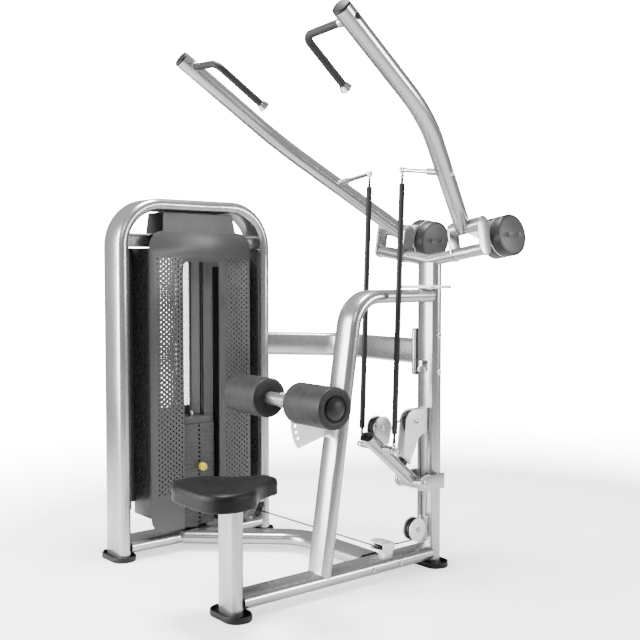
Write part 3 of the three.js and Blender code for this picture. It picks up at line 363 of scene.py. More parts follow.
# ---- solids
class Piece:
    """Collects solids in millimetres, then becomes one Blender object."""

    def __init__(self):
        self.bm = bmesh.new()

    def ring_surface(self, rings, close_rings=False):
        made = [[self.bm.verts.new(point) for point in ring] for ring in rings]
        count = len(made[0])
        pairs = list(zip(made, made[1:]))
        if close_rings:
            pairs.append((made[-1], made[0]))
        for low, high in pairs:
            for k in range(count):
                after = (k + 1) % count
                self.bm.faces.new((low[k], low[after], high[after], high[k]))
        return made

    def sweep(self, section, stations, across=None, hollow=0):
        """A section carried along stations. Across fixes the section's x axis, hollow is the wall."""
        side = across or stations[0][1].orthogonal().normalized()
        rings, bores = [], []
        for point, heading in stations:
            side = (side - heading * side.dot(heading)).normalized()
            up = heading.cross(side)
            rings.append([point + side * x + up * y for x, y in section])
            if hollow:
                reach = max(math.hypot(x, y) for x, y in section)
                shrink = 1 - hollow / reach
                bores.append([point + side * x * shrink + up * y * shrink for x, y in section])
        if hollow:
            self.ring_surface(rings + bores[::-1], close_rings=True)
            return self
        made = self.ring_surface(rings)
        self.bm.faces.new(made[0][::-1])
        self.bm.faces.new(made[-1])
        return self

    def tube(self, radius, corners, radii=0, steps=12, sides=32, **options):
        return self.sweep(circle(0, 0, radius, sides), bent_path(corners, radii, steps), **options)

    def oval_tube(self, size, corners, radii=0, across=Y_AXIS, wall=3, steps=16):
        return self.sweep(oval(**size), bent_path(corners, radii, steps), across=across, hollow=wall)

    def lathe(self, profile, base, direction, sides=48):
        """Profile is (radius, height) pairs from the axis, or from one edge of a bore to the other."""
        direction = Vector(direction).normalized()
        side = direction.orthogonal().normalized()
        up = direction.cross(side)
        base = Vector(base)
        rings = []
        for radius, height in profile:
            centre = base + direction * height
            radius = max(radius, 0.001)
            rings.append([centre + side * x + up * y for x, y in circle(0, 0, radius, sides)])
        self.ring_surface(rings, close_rings=profile[0] == profile[-1])
        return self

    def rod(self, radius, low, high, base, direction, sides=24):
        return self.lathe([(0, low), (radius, low), (radius, high), (0, high)], base, direction, sides)

    def bush(self, bore, radius, low, high, base=(0, 0, 0)):
        """A bored sleeve along y, with its outer edges broken."""
        profile = [(bore, low), (radius - 1, low), (radius, low + 1), (radius, high - 1), (radius - 1, high),
                   (bore, high), (bore, low)]
        return self.lathe(profile, base, Y_AXIS)

    def plates(self, outline, pairs, plane="xz", bevel=1.0):
        for low, high in pairs:
            self.plate(outline, low, high, plane, bevel)
        return self

    def plate(self, outline, low, high, plane="xz", bevel=1.0, holes=()):
        """A plate with softened edges. Its outline is drawn in the plane, low and high are across it."""
        curve = bpy.data.curves.new("outline", "CURVE")
        curve.dimensions = "2D"
        curve.fill_mode = "BOTH"
        curve.bevel_resolution = 2
        curve.extrude = (high - low) / 2 - bevel
        curve.bevel_depth = bevel
        curve.offset = -bevel
        for points in [outline, *holes]:
            spline = curve.splines.new("POLY")
            spline.points.add(len(points) - 1)
            for slot, (x, y) in zip(spline.points, points):
                slot.co = (x, y, 0, 1)
            spline.use_cyclic_u = True
        holder = bpy.data.objects.new("outline", curve)
        mesh = bpy.data.meshes.new_from_object(holder)
        axes = {
            "xz": (X_AXIS, Z_AXIS, -Y_AXIS),
            "yz": (Y_AXIS, Z_AXIS, X_AXIS),
            "xy": (X_AXIS, Y_AXIS, Z_AXIS),
        }[plane]
        turn = Matrix([[axis[row] for axis in axes] for row in range(3)]).to_4x4()
        middle = (low + high) / 2
        shift = {"xz": (0, middle, 0), "yz": (middle, 0, 0), "xy": (0, 0, middle)}[plane]
        mesh.transform(Matrix.Translation(shift) @ turn)
        self.bm.from_mesh(mesh)
        bpy.data.objects.remove(holder)
        bpy.data.curves.remove(curve)
        bpy.data.meshes.remove(mesh)
        return self

    def box(self, x0, x1, y0, y1, z0, z1, bevel=1.0):
        return self.plate(rectangle(x0, x1, z0, z1), y0, y1, "xz", bevel)

    def bolt(self, base, direction, radius=8, height=6, washer=True):
        """A domed socket head, with its washer."""
        if washer:
            edge = radius * 1.5
            profile = [(0, -1), (edge, -1), (edge, 1.2), (radius * 1.4, 1.8), (0, 1.8)]
            self.lathe(profile, base, direction, 24)
        dome = [(0, 0), (radius, 0), (radius, height * 0.45),
                (radius * 0.86, height * 0.8), (radius * 0.62, height)]
        socket = [(radius * 0.45, height), (radius * 0.45, height * 0.35), (0, height * 0.35)]
        return self.lathe(dome + socket, base, direction, 24)

    def nut(self, base, direction, radius, height):
        profile = [(0, 0), (radius, 0), (radius, height - 1), (radius * 0.9, height), (0, height)]
        return self.lathe(profile, base, direction, 6)

    def add(self, other, matrix=None):
        mesh = bpy.data.meshes.new("part")
        other.bm.to_mesh(mesh)
        if matrix:
            mesh.transform(matrix)
            if matrix.determinant() < 0:
                mesh.flip_normals()
        self.bm.from_mesh(mesh)
        bpy.data.meshes.remove(mesh)
        return self

    def mirror(self):
        """Adds the mirror image across the machine's middle plane."""
        copy = Piece()
        copy.bm = self.bm.copy()
        return self.add(copy, Matrix.Diagonal((1, -1, 1, 1)))

    def place(self, name, body="frame", finish="frame_paint", nodes=(), matrix=None, angle=38):
        """Makes the object, puts it on its body and hides the CAD nodes it stands for."""
        if matrix:
            self.bm.transform(matrix)
            if matrix.determinant() < 0:
                bmesh.ops.reverse_faces(self.bm, faces=self.bm.faces)
        bmesh.ops.remove_doubles(self.bm, verts=self.bm.verts, dist=0.004)
        bmesh.ops.dissolve_degenerate(self.bm, edges=self.bm.edges, dist=0.002)
        bmesh.ops.recalc_face_normals(self.bm, faces=self.bm.faces)
        self.bm.transform(Matrix.Scale(MM, 4))
        mesh = bpy.data.meshes.new(name)
        self.bm.to_mesh(mesh)
        self.bm.free()
        mesh.shade_smooth()
        mesh.set_sharp_from_angle(angle=math.radians(angle))
        mesh.materials.append(MATERIALS[finish])
        piece = bpy.data.objects.new(name, mesh)
        bpy.context.scene.collection.objects.link(piece)
        if body:
            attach(piece, body)
        if nodes:
            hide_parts(*nodes)
        return piece


MIRROR = Matrix.Diagonal((1, -1, 1, 1))
ON_CROSSBAR = Matrix.Translation((0, 0, CROSSBAR_Z)) @ Matrix.Rotation(CROSSBAR_TILT, 4, "X")
ON_LEVER = Matrix.Translation((LEVER_X, 0, LEVER_Z)) @ Matrix.Rotation(LEVER_ANGLE, 4, "Y")
SIDES = {"left": None, "right": MIRROR}

def lever_point(distance, above):
    return ON_LEVER @ Vector((distance, 0, above))


# ---- main frame
def base_rail():
    rail = Piece().oval_tube(MAIN, [(SEAT_POST_X + 24, 0, RAIL_Z), (INSIDE_REAR_X, 0, RAIL_Z)])
    rail.place("floor_tube", nodes=["base_rail"])
    bolts = Piece()
    for x in (-347, -204):
        bolts.bolt((x, -54.5, RAIL_Z), (0, -1, 0), 11, 6, washer=False)
    bolts.place("floor_tube_bolts", "frame", "steel")


def seat_post():
    post = Piece().oval_tube(MAIN, [(SEAT_POST_X, 0, POST_FOOT_Z), (SEAT_POST_X, 0, SEAT_BOTTOM - 7)])
    flange = rounded_rectangle(SEAT_POST_X - 140, SEAT_POST_X + 110, -60, 60, 20)
    post.plate(flange, SEAT_BOTTOM - 8, SEAT_BOTTOM, "xy", 1.2)
    post.place("seat_column", nodes=["seat_post"])


def foot(name, x, y):
    """A rubber tray: one wall profile carried round a stadium."""
    half = 39
    wall = [(12, 9), (44, 9), (45, 10), (45.5, 19), (47, 21.6), (49.5, 22), (51.4, 20.6), (52, 17),
            (52, 2.5), (50.5, 0), (12, 0)]
    outline = slug(0, -half, 1, 0, half)
    tray = Piece()
    rings = []
    for px, py in outline:
        middle = half if py > 0 else -half
        rings.append([(x + px * r, y + middle + (py - middle) * r, z) for r, z in wall])
    made = tray.ring_surface(rings, close_rings=True)
    for level in (0, -1):
        tray.bm.faces.new([ring[level] for ring in made])
    tray.place(f"{name}_pad", "frame", "black_rubber", [name])


def rear_upright():
    post = Piece().oval_tube(MAIN, [(0, 0, POST_FOOT_Z), (0, 0, CROSSBAR_Z - 8)])
    half = 30
    ear = [(18, LEVER_Z - half), (18, LEVER_Z + half)]
    ear += arc(LEVER_X, LEVER_Z, half, math.pi / 2, 1.5 * math.pi, 32)
    lugs = Piece().plate(ear, 58, 72, "xz", 1.5)
    lugs.box(-20, 17, 50, 59, LEVER_Z - half + 1, LEVER_Z + half - 1, 1)
    post.add(lugs.mirror())
    post.place("rear_column", nodes=["rear_upright"])
    fittings = Piece()
    for z in (938, 790):
        fittings.bolt((0, -55, z), (0, -1, 0), 8, 6)
    fittings.box(-47, -24, -3, 19, 814, 836, 2)
    fittings.lathe([(0, 0), (6.4, 0), (6.4, 34), (5, 36), (0, 36)], (-38, 8, 826), (-0.4, 0, -0.92), 20)
    fittings.place("column_fittings", "frame", "steel")


def front_upright():
    top_z = 1098
    bottom = RAIL_TOP - 14
    corners = [
        (FRONT_FOOT_X - FRONT_LEAN * (RAIL_TOP - bottom), 0, bottom),
        (FRONT_FOOT_X + FRONT_LEAN * (top_z - RAIL_TOP), 0, top_z),
        (INSIDE_REAR_X, 0, top_z),
    ]
    tube = Piece().oval_tube(MAIN, corners, 128)
    tube.place("front_column", nodes=["front_upright"])


def crossbar():
    half = 292
    reach, rise = half * math.cos(CROSSBAR_TILT), half * math.sin(CROSSBAR_TILT)
    ends = [(0, side * reach, CROSSBAR_Z + abs(side) * rise) for side in (-1, 0, 1)]
    bar = Piece().tube(24, ends, 80, 8, 40)
    ears = Piece()
    ears.plates(slug(0, 0, EAR_RADIUS, 0, PIVOT_HEIGHT), ((134, 146), (290.3, 301.3)), "xz", 1.6)
    ears.bm.transform(ON_CROSSBAR)
    ears.mirror()
    bar.add(ears)
    bar.place("yoke_bar", nodes=["crossbar"])
    shaft_profile = [(0, 135), (11, 135), (12, 136), (12, 299), (11, 300), (5, 300), (4, 298), (0, 298)]
    for side, matrix in SIDES.items():
        shaft = Piece().lathe(shaft_profile, (0, 0, PIVOT_HEIGHT), Y_AXIS, 32)
        shaft.bm.transform(ON_CROSSBAR)
        shaft.place(f"arm_shaft_{side}", "frame", "steel", [f"pivot_shaft_{side}"], matrix)


def collar_plate():
    plate = Piece().plate(rounded_rectangle(-80, 40, -92, 92, 20), 1127, 1139, "xy", 2)
    plate.place("collar", "frame", "plate_paint", ["collar_plate"])


# ---- tower
def tower_loop():
    corners = [
        (TOWER_FRONT_X, TOWER_Y, POST_FOOT_Z), (TOWER_FRONT_X, TOWER_Y, TOWER_TOP),
        (TOWER_REAR_X, TOWER_Y, TOWER_TOP), (TOWER_REAR_X, TOWER_Y, POST_FOOT_Z),
    ]
    loop = Piece().oval_tube(TOWER, corners, 175, steps=24)
    loop.box(INNER_FRONT - 1, INNER_REAR + 1, 836, 896, TOP_PLATE_Z - BEAM_DEPTH, TOP_PLATE_Z, 2)
    loop.box(INNER_FRONT + 2, INNER_REAR - 2, 800, 930, TOP_PLATE_Z - 1, TOP_PLATE_Z + 6, 1)
    for low, high in TOWER_CHEEKS:
        loop.box(-600, -420, TOWER_Y + low, TOWER_Y + high, TOP_PLATE_Z + 4, TOP_PULLEY_Z + 12, 1)
    for x in TOP_PULLEYS_X:
        loop.rod(AXLE_RADIUS, -15, 15, (x, TOWER_Y, TOP_PULLEY_Z), Y_AXIS)
    loop.place("tower_hoop", nodes=["tower_loop"])


def tower_rail():
    rail = Piece().oval_tube(TOWER, [(INNER_FRONT - 1, TOWER_Y, RAIL_Z), (INNER_REAR + 1, TOWER_Y, RAIL_Z)])
    bracket = Piece().plates(slug(0, 0, 30, 48, RAIL_TOP - TOWER_PULLEY[2], 14), TOWER_CHEEKS, "yz")
    bracket.rod(AXLE_RADIUS, -19, 17, (0, 0, 0), X_AXIS)
    rail.add(bracket, Matrix.Translation(TOWER_PULLEY) @ Matrix.Rotation(TOWER_PULLEY_TILT, 4, "Y"))
    rail.place("tower_floor_tube", nodes=["tower_rail"])
    bolts = Piece().bolt((-690, TOWER_Y - 75, RAIL_Z), (0, -1, 0), 7, 5)
    bolts.place("tower_floor_bolt", "frame", "steel")


HOLE_WIDTH, HOLE_HEIGHT = 7.4, 10.4
COLUMN_STEP = 13.4
ROW_STEP = 21
GUARD = dict(left=-843, right=-341, bottom=98, top=1362, front=776, sheet=4, radius=65)
GUARD_SLOT = dict(left=-682, right=-505, top=1235, radius=20)


def perforated(piece, low, high, bottom, top, faces, plane, size=1):
    """A sheet with staggered rows of holes. Low and high run along it, faces are its two sides."""
    columns = round((high - low) / COLUMN_STEP / size)
    rows = round((top - bottom) / ROW_STEP / size)
    step, pitch = (high - low) / columns, (top - bottom) / rows

    def spot(across, z, face):
        return (across, face, z) if plane == "xz" else (face, across, z)

    def cell(left, floor, height):
        round_rim = ((1, 0.5), (1, 1), (0.5, 1), (0, 1), (0, 0.5), (0, 0), (0.5, 0), (1, 0))
        rim = [(left + step * a, floor + height * b) for a, b in round_rim]
        middle_x, middle_z = left + step / 2, floor + height / 2
        hole = [(middle_x + x * HOLE_WIDTH * size, middle_z + z * HOLE_HEIGHT * size)
                for x, z in circle(0, 0, 0.5, 8)]
        near, far = faces
        rings = ((rim, near), (hole, near), (hole, far), (rim, far))
        piece.ring_surface([[spot(*point, face) for point in ring] for ring, face in rings])

    def blank(left, floor, height):
        corners = rectangle(left, left + step, floor, floor + height)
        for face in faces:
            piece.bm.faces.new([piece.bm.verts.new(spot(*point, face)) for point in corners])

    for column in range(columns):
        left = low + column * step
        shifted = column % 2
        for row in range(rows - shifted):
            cell(left, bottom + (row + shifted / 2) * pitch, pitch)
        if shifted:
            blank(left, bottom, pitch / 2)
            blank(left, top - pitch / 2, pitch / 2)
    edge = rectangle(low, high, bottom, top)
    piece.ring_surface([[spot(*point, face) for point in edge] for face in faces])


def front_guard():
    left, right, bottom, top, front, sheet, radius = GUARD.values()
    slot_left, slot_right, slot_top, slot_radius = GUARD_SLOT.values()
    back = front + sheet
    fields = [(-812, -687), (-474, -353)]
    field_bottom, field_top = 249, 1257
    quarter = math.pi / 2
    slot_arc_z = slot_top - slot_radius
    outline = (
        [(slot_left, bottom)]
        + arc(slot_left + slot_radius, slot_arc_z, slot_radius, 2 * quarter, quarter, 8)
        + arc(slot_right - slot_radius, slot_arc_z, slot_radius, quarter, 0, 8)
        + [(slot_right, bottom)]
        + arc(right - radius, bottom + radius, radius, -quarter, 0, 12)
        + arc(right - radius, top - radius, radius, 0, quarter, 12)
        + arc(left + radius, top - radius, radius, quarter, 2 * quarter, 12)
        + arc(left + radius, bottom + radius, radius, 2 * quarter, 3 * quarter, 12)
    )
    windows = [rectangle(*field, field_bottom, field_top) for field in fields]
    guard = Piece().plate(outline, front, back, "xz", 0.8, windows)
    for low, high in fields:
        perforated(guard, low, high, field_bottom, field_top, (front + 0.4, back - 0.4), "xz")
    for x, depth in ((left, 925), (right - sheet, 835)):
        side_wall(guard, x, bottom + radius, TOP_PLATE_Z - 53, depth)
    guard.place("front_guard", "frame", "shroud_paint", ["front_shroud"], angle=30)
    returns = Piece()
    for x in (slot_left - 4, slot_right + 1):
        returns.box(x, x + 3, back, back + 50, bottom + 6, slot_arc_z, 0.6)
    returns.place("slot_returns", "frame", "black_rubber")


def side_wall(guard, x, bottom, top, depth):
    front, sheet = GUARD["front"] + 2, GUARD["sheet"]
    field = (front + 22, depth - 10, bottom + 86, top - 37)
    guard.plate(rectangle(front, depth, bottom, top), x, x + sheet, "yz", 0.6, [rectangle(*field)])
    perforated(guard, *field, (x + 0.4, x + sheet - 0.4), "yz")


def rear_guard():
    x0, x1, z0, z1 = INNER_FRONT + 3, INNER_REAR - 3, 210, TOP_PLATE_Z - 51
    field = (-705, -562, 600, z1 - 40)
    guard = Piece().plate(rectangle(x0, x1, z0, z1), 931, 934, "xz", 0.6, [rectangle(*field)])
    perforated(guard, *field, (931.4, 933.6), "xz", 0.5)
    side_field = (830, 918, z0 + 40, z1 - 40)
    for x in (x0, x1 - 3):
        guard.plate(rectangle(812, 932, z0, z1), x, x + 3, "yz", 0.6, [rectangle(*side_field)])
        perforated(guard, *side_field, (x + 0.4, x + 2.6), "yz")
    guard.place("rear_guard", "frame", "shroud_paint", ["rear_shroud"], angle=30)
    # A pale panel laid on the rear guard's inner face is painted light: it stands for the lit part of the
    # dark guard's interior, seen through the slot and the right field.
    lit_panel = Piece().box(field[1], -373, 927.5, 930.5, z0 + 6, z1 - 6, 0.6)
    lit_panel.place("guard_lit_panel", "frame", "lit_panel_paint")


def pulley_cover():
    low, high = TOP_PLATE_Z + 6.3, 1443
    profile = [(782, low), (925, low), (925, high - 4), (921, high), (804, high), (798, high - 3)]
    slant = 12 / (high - low)
    cover = Piece()
    ends = cover.ring_surface([
        [(-777 + (z - low) * slant, y, z) for y, z in profile],
        [(-411 - (z - low) * slant, y, z) for y, z in profile],
    ])
    for end in ends:
        cover.bm.faces.new(end)
    cover.place("top_cover", "frame", "black_rubber", ["pulley_cover"])
    # A paler skin over the cover's front face is painted light: the front is drawn lighter than the dark
    # sides of the same cover.
    face = Piece()
    bottom = [(-777, 0, low), (-411, 0, low)]
    top = [(-423, 16, high - 3), (-765, 16, high - 3)]
    sheet = [[(x, y + near, z) for x, y, z in bottom + top] for near in (780.5, 782.5)]
    sides = face.ring_surface(sheet)
    for side in sides:
        face.bm.faces.new(side)
    face.place("cover_lit_face", "frame", "cover_plastic")


def link_tubes():
    upper = Piece().oval_tube(LINK, [(0, 66, 868), (0, 552, 868), (TOWER_REAR_X - 6, 846, 868)], 200, Z_AXIS)
    upper.plate(rounded_rectangle(-32, 32, 772, 964, 12), 55.3, 70, "xz", 1.2)
    upper.place("upper_link", nodes=["upper_link_tube"])
    corners = [(-655, 824, RAIL_Z), (-275, 481, RAIL_Z), (-275, 58, RAIL_Z)]
    lower = Piece().oval_tube(MAIN, corners, 200, -X_AXIS)
    lower.place("lower_link", nodes=["floor_link_tube"])
    bolts = Piece()
    for x in (-18, 18):
        for z in (792, 944):
            bolts.bolt((x, 70, z), Y_AXIS, 7, 5)
    bolts.place("link_bolts", "frame", "steel")


# ---- weight stack
PLATE_PITCH = 19
GUIDE_FOOT_Z = 78.8
STEM_TOP = 588


def stack_of_plates(low, high):
    """Separate plates with rounded edges, each with the dimple that takes the selector pin."""
    count = round((high - low) / PLATE_PITCH)
    pitch = (high - low) / count
    plates = Piece()
    for k in range(count):
        z = low + k * pitch
        outline = rounded_rectangle(TOWER_MID_X - 75, TOWER_MID_X + 75, z + 0.2, z + pitch - 0.2, 1, 3)
        plates.plate(outline, 800, 926, "xz", 0.6, [circle(TOWER_MID_X, z + pitch / 2, 5.5, 20)])
    return plates


def weight_stack():
    guides = [(TOWER_MID_X + side * GUIDE_SPREAD, TOWER_Y, 0) for side in (-1, 1)]
    buffer = [(0, GUIDE_FOOT_Z), (20, GUIDE_FOOT_Z), (20, 96), (18, 98), (0, 98)]
    resting = stack_of_plates(98, 345.5)
    for base in guides:
        resting.lathe(buffer, base, Z_AXIS, 32)
    resting.place("resting_weights", "frame", "disc_face", ["stack_resting_plates"])
    lifted = stack_of_plates(345.8, 538)
    lifted.plate(rounded_rectangle(TOWER_MID_X - 70, TOWER_MID_X + 70, 538, 565, 5), 804, 922, "xz", 2)
    lifted.place("lifted_weights", "weight_stack", "disc_face", ["stack_lifted_plates"])
    stem_profile = [(0, 112), (9, 112), (9, 568), (12, 568), (12, 582), (8, STEM_TOP), (0, STEM_TOP)]
    stem = Piece().lathe(stem_profile, (TOWER_MID_X, TOWER_Y, 0), Z_AXIS, 32)
    stem.place("selector_stem", "weight_stack", "steel")
    for k, base in enumerate(guides, 1):
        rod = Piece().rod(8, GUIDE_FOOT_Z, TOP_PLATE_Z - BEAM_DEPTH - 0.5, base, Z_AXIS, 32)
        rod.place(f"guide_{k}", "frame", "oiled_steel", [f"guide_rod_{k}"])


def selector_pin():
    root = (TOWER_MID_X, TOWER_Y - 27, PIN_Z)
    pin = Piece().lathe([(0, -9), (4, -9), (5, -6), (5, 54), (0, 54)], root, -Y_AXIS, 24)
    pin.place("pin_shank", "selector", "chrome")
    knob_profile = [(0, 53), (9, 53), (11, 55), (16, 57), (17, 60),
                    (17, 72), (15.5, 76.5), (12, 78.6), (0, 79)]
    knob = Piece().lathe(knob_profile, root, -Y_AXIS, 40)
    knob.place("pin_knob", "selector", "yellow_plastic", ["selector_pin"])


# ---- pulleys
def pulley(name, node, centre, axis, radius=PULLEY_RADIUS, turn=Matrix(), body=None):
    """A grooved nylon wheel with a dished web and a raised hub."""
    half, groove, bore = 10, 6, AXLE_RADIUS + CLEAR
    web = half - 3.5
    side = [(bore, half), (15, half), (16, half - 1), (17, web), (radius - 12, web), (radius - 11, half - 1),
            (radius - 10, half), (radius - 1, half), (radius, half - 1), (radius, half - 2.6)]
    seat = [(radius - groove * 0.55, 3.4), (radius - groove * 0.9, 2.2), (radius - groove, 0)]
    front = side + seat
    back = [(r, -h) for r, h in front[-2::-1]]
    wheel = Piece().lathe(front + back + [front[0]], (0, 0, 0), axis, 64)
    wheel.place(name, body or f"{node}_wheel", "pulley_plastic", [node], Matrix.Translation(centre) @ turn)


def pulleys():
    tilt = Matrix.Rotation(TOWER_PULLEY_TILT, 4, "Y")
    first, second = [(x, TOWER_Y, TOP_PULLEY_Z) for x in TOP_PULLEYS_X]
    base, upright = [(x, 0, z) for x, z in (BASE_PULLEY, UPRIGHT_PULLEY)]
    sheave = lever_point(SHEAVE_ALONG, SHEAVE_ABOVE)
    pulley("wheel_top_stack", "top_pulley_1", first, Y_AXIS, SMALL_PULLEY)
    pulley("wheel_top_drop", "top_pulley_2", second, Y_AXIS, SMALL_PULLEY)
    pulley("wheel_tower", "tower_pulley", TOWER_PULLEY, X_AXIS, turn=tilt)
    pulley("wheel_floor", "floor_pulley", (*FLOOR_PULLEY, CABLE_Z), Z_AXIS, FLOOR_PULLEY_RADIUS)
    pulley("wheel_base", "base_pulley", base, Y_AXIS)
    pulley("wheel_upright", "upright_pulley", upright, Y_AXIS)
    pulley("wheel_lever", "lever_pulley", sheave, Y_AXIS, SHEAVE_RADIUS, body="lever_sheave")


def axle_bolts(name, body, x, z, matrix=None):
    """The pin a pulley turns on, with a socket head outside each cheek plate."""
    bolts = Piece().rod(AXLE_RADIUS, -22, 22, (x, 0, z), Y_AXIS)
    for side in (1, -1):
        bolts.bolt((x, side * 21.5, z), side * Y_AXIS, 11, 6.5, washer=False)
    bolts.place(name, body, "steel", matrix=matrix)


BUMPER_ALONG, BUMPER_HEIGHT = -100, 17


def upright_bracket():
    x, z = UPRIGHT_PULLEY
    foot_base = 20 + 2 * CLEAR + BUMPER_HEIGHT
    corners = [lever_point(BUMPER_ALONG + offset, foot_base + 3) for offset in (-22, 22)]
    cheek = [(-26, z + 51)] + arc(x, z, 51, math.pi / 2, math.pi, 24)
    cheek += [(corner.x, corner.z) for corner in corners]
    cheek += [(-92, 500), (-88, 516), (-76, 532), (-56, 543), (-26, 548)]
    bracket = Piece().plates(cheek, CHEEKS)
    sole = Piece().box(BUMPER_ALONG - 26, BUMPER_ALONG + 26, -22, 22, foot_base, foot_base + 8, 1)
    bracket.add(sole, ON_LEVER)
    bracket.box(-33, -POST_FACE, -22, 22, 548, 646, 1)
    bracket.place("upright_cheeks", "frame", "plate_paint", ["upright_pulley_bracket"])
    axle_bolts("upright_axle", "frame", x, z)
    profile = [(0, 20.3), (20, 20.3), (22, 22), (22, 32), (20.5, 36), (18, 37.3), (0, 37.3)]
    stop = Piece().lathe(profile, (BUMPER_ALONG, 0, 0), Z_AXIS, 40)
    stop.place("stop_buffer", "frame", "black_rubber", ["bumper"], ON_LEVER)


def base_bracket():
    x, z = BASE_PULLEY
    bracket = Piece().plates(slug(x, z, 46, -50, z, 24), CHEEKS)
    bracket.box(-33, -POST_FACE, -22, 22, z - 45, z + 45, 1)
    bracket.place("base_cheeks", "frame", "plate_paint", ["base_pulley_bracket"])
    axle_bolts("base_axle", "frame", x, z)


def floor_housing():
    x, y = FLOOR_PULLEY
    half = 30
    outline = [(x - half, -20), (x + half, -20)] + arc(x, 44, half, 0, math.pi, 32)
    cheeks = [(CABLE_Z + low, CABLE_Z + high) for low, high in FLOOR_CHEEKS]
    housing = Piece().plates(outline, cheeks, "xy")
    housing.box(x - 22, x + 22, -18, 20, RAIL_TOP + CLEAR, CABLE_Z - 12, 1)
    housing.place("floor_housing", "frame", "plate_paint", ["floor_pulley_housing"])
    face = Piece().box(x - half, x + half, -20.5, -14, CABLE_Z - 15, CABLE_Z + 15, 1)
    face.place("floor_housing_face", "frame", "plate_paint")
    bolt = Piece().bolt((x, y, CABLE_Z + 16), Z_AXIS, 8, 5, washer=False)
    bolt.place("floor_housing_bolt", "frame", "steel")


# ---- lever and tie rods
def rocker():
    tube = Piece().oval_tube(LEVER_TUBE, [(-14, 0, 0), (-321, 0, 0)])
    tube.bush(SHAFT_BORE, 26, -57.5, 57.5)
    boss = [(0, -84.5), (13, -84.5), (14, -83.5), (14, 83.5), (13, 84.5), (0, 84.5)]
    tube.lathe(boss, (-LEVER_PIN, 0, 0), Y_AXIS, 40)
    tube.plates(slug(SHEAVE_ALONG, SHEAVE_ABOVE, 46, SHEAVE_ALONG + 30, 34, 34), CHEEKS)
    tube.place("rocker_tube", "rocker_lever", "frame_paint", ["lever"], ON_LEVER)
    pin_profile = [(0, 84), (8, 84), (8, ROD_W + 20), (7, ROD_W + 21), (0, ROD_W + 21)]
    pin = Piece().lathe(pin_profile, (-LEVER_PIN, 0, 0), Y_AXIS, 32)
    pin.nut((-LEVER_PIN, ROD_W + 8, 0), Y_AXIS, 12, 9)
    pin.mirror()
    pin.place("rocker_pin", "rocker_lever", "steel", matrix=ON_LEVER)
    axle_bolts("rocker_axle", "rocker_lever", SHEAVE_ALONG, SHEAVE_ABOVE, ON_LEVER)
    shaft = Piece().rod(12, -71.5, 71.5, (LEVER_X, 0, LEVER_Z), Y_AXIS, 40)
    shaft.place("rocker_shaft", "frame", "steel", ["lever_shaft"])
    caps = Piece().bolt((LEVER_X, 71.5, LEVER_Z), Y_AXIS, 14, 6, washer=False).mirror()
    caps.place("rocker_shaft_caps", "frame", "steel")


ROD_BOTTOM = lever_point(-LEVER_PIN, 0) + Vector((0, ROD_W, 0))


def eye(piece, centre, bore, direction):
    """A rod end: a rounded ring round a ball, and its threaded shank."""
    ring = [(bore, -5.5), (12.5, -5.5), (13.6, -4), (14, 0), (13.6, 4), (12.5, 5.5), (bore, 5.5)]
    ring.append(ring[0])
    piece.lathe(ring, centre, Y_AXIS, 40)
    piece.lathe([(0, 11), (7, 12), (7, 26), (5.5, 28), (0, 28)], centre, direction, 24)


def tie_rods():
    run = (ROD_TOP - ROD_BOTTOM).normalized()
    length = (ROD_TOP - ROD_BOTTOM).length
    profile = [
        (0, 27), (5, 27), (5, 62), (9, 64), (11, 67),
        (11, length - 54), (9, length - 51), (5, length - 50), (5, length - 27), (0, length - 27),
    ]
    for side, matrix in SIDES.items():
        sleeve = Piece().lathe(profile, ROD_BOTTOM, run, 32)
        sleeve.place(f"rod_sleeve_{side}", f"{side}_tie_rod", "black_rubber", [f"tie_rod_{side}"], matrix)
        ends = Piece()
        eye(ends, ROD_BOTTOM, 9.2, run)
        eye(ends, ROD_TOP, 6, -run)
        ends.place(f"rod_ends_{side}", f"{side}_tie_rod", "chrome", matrix=matrix)


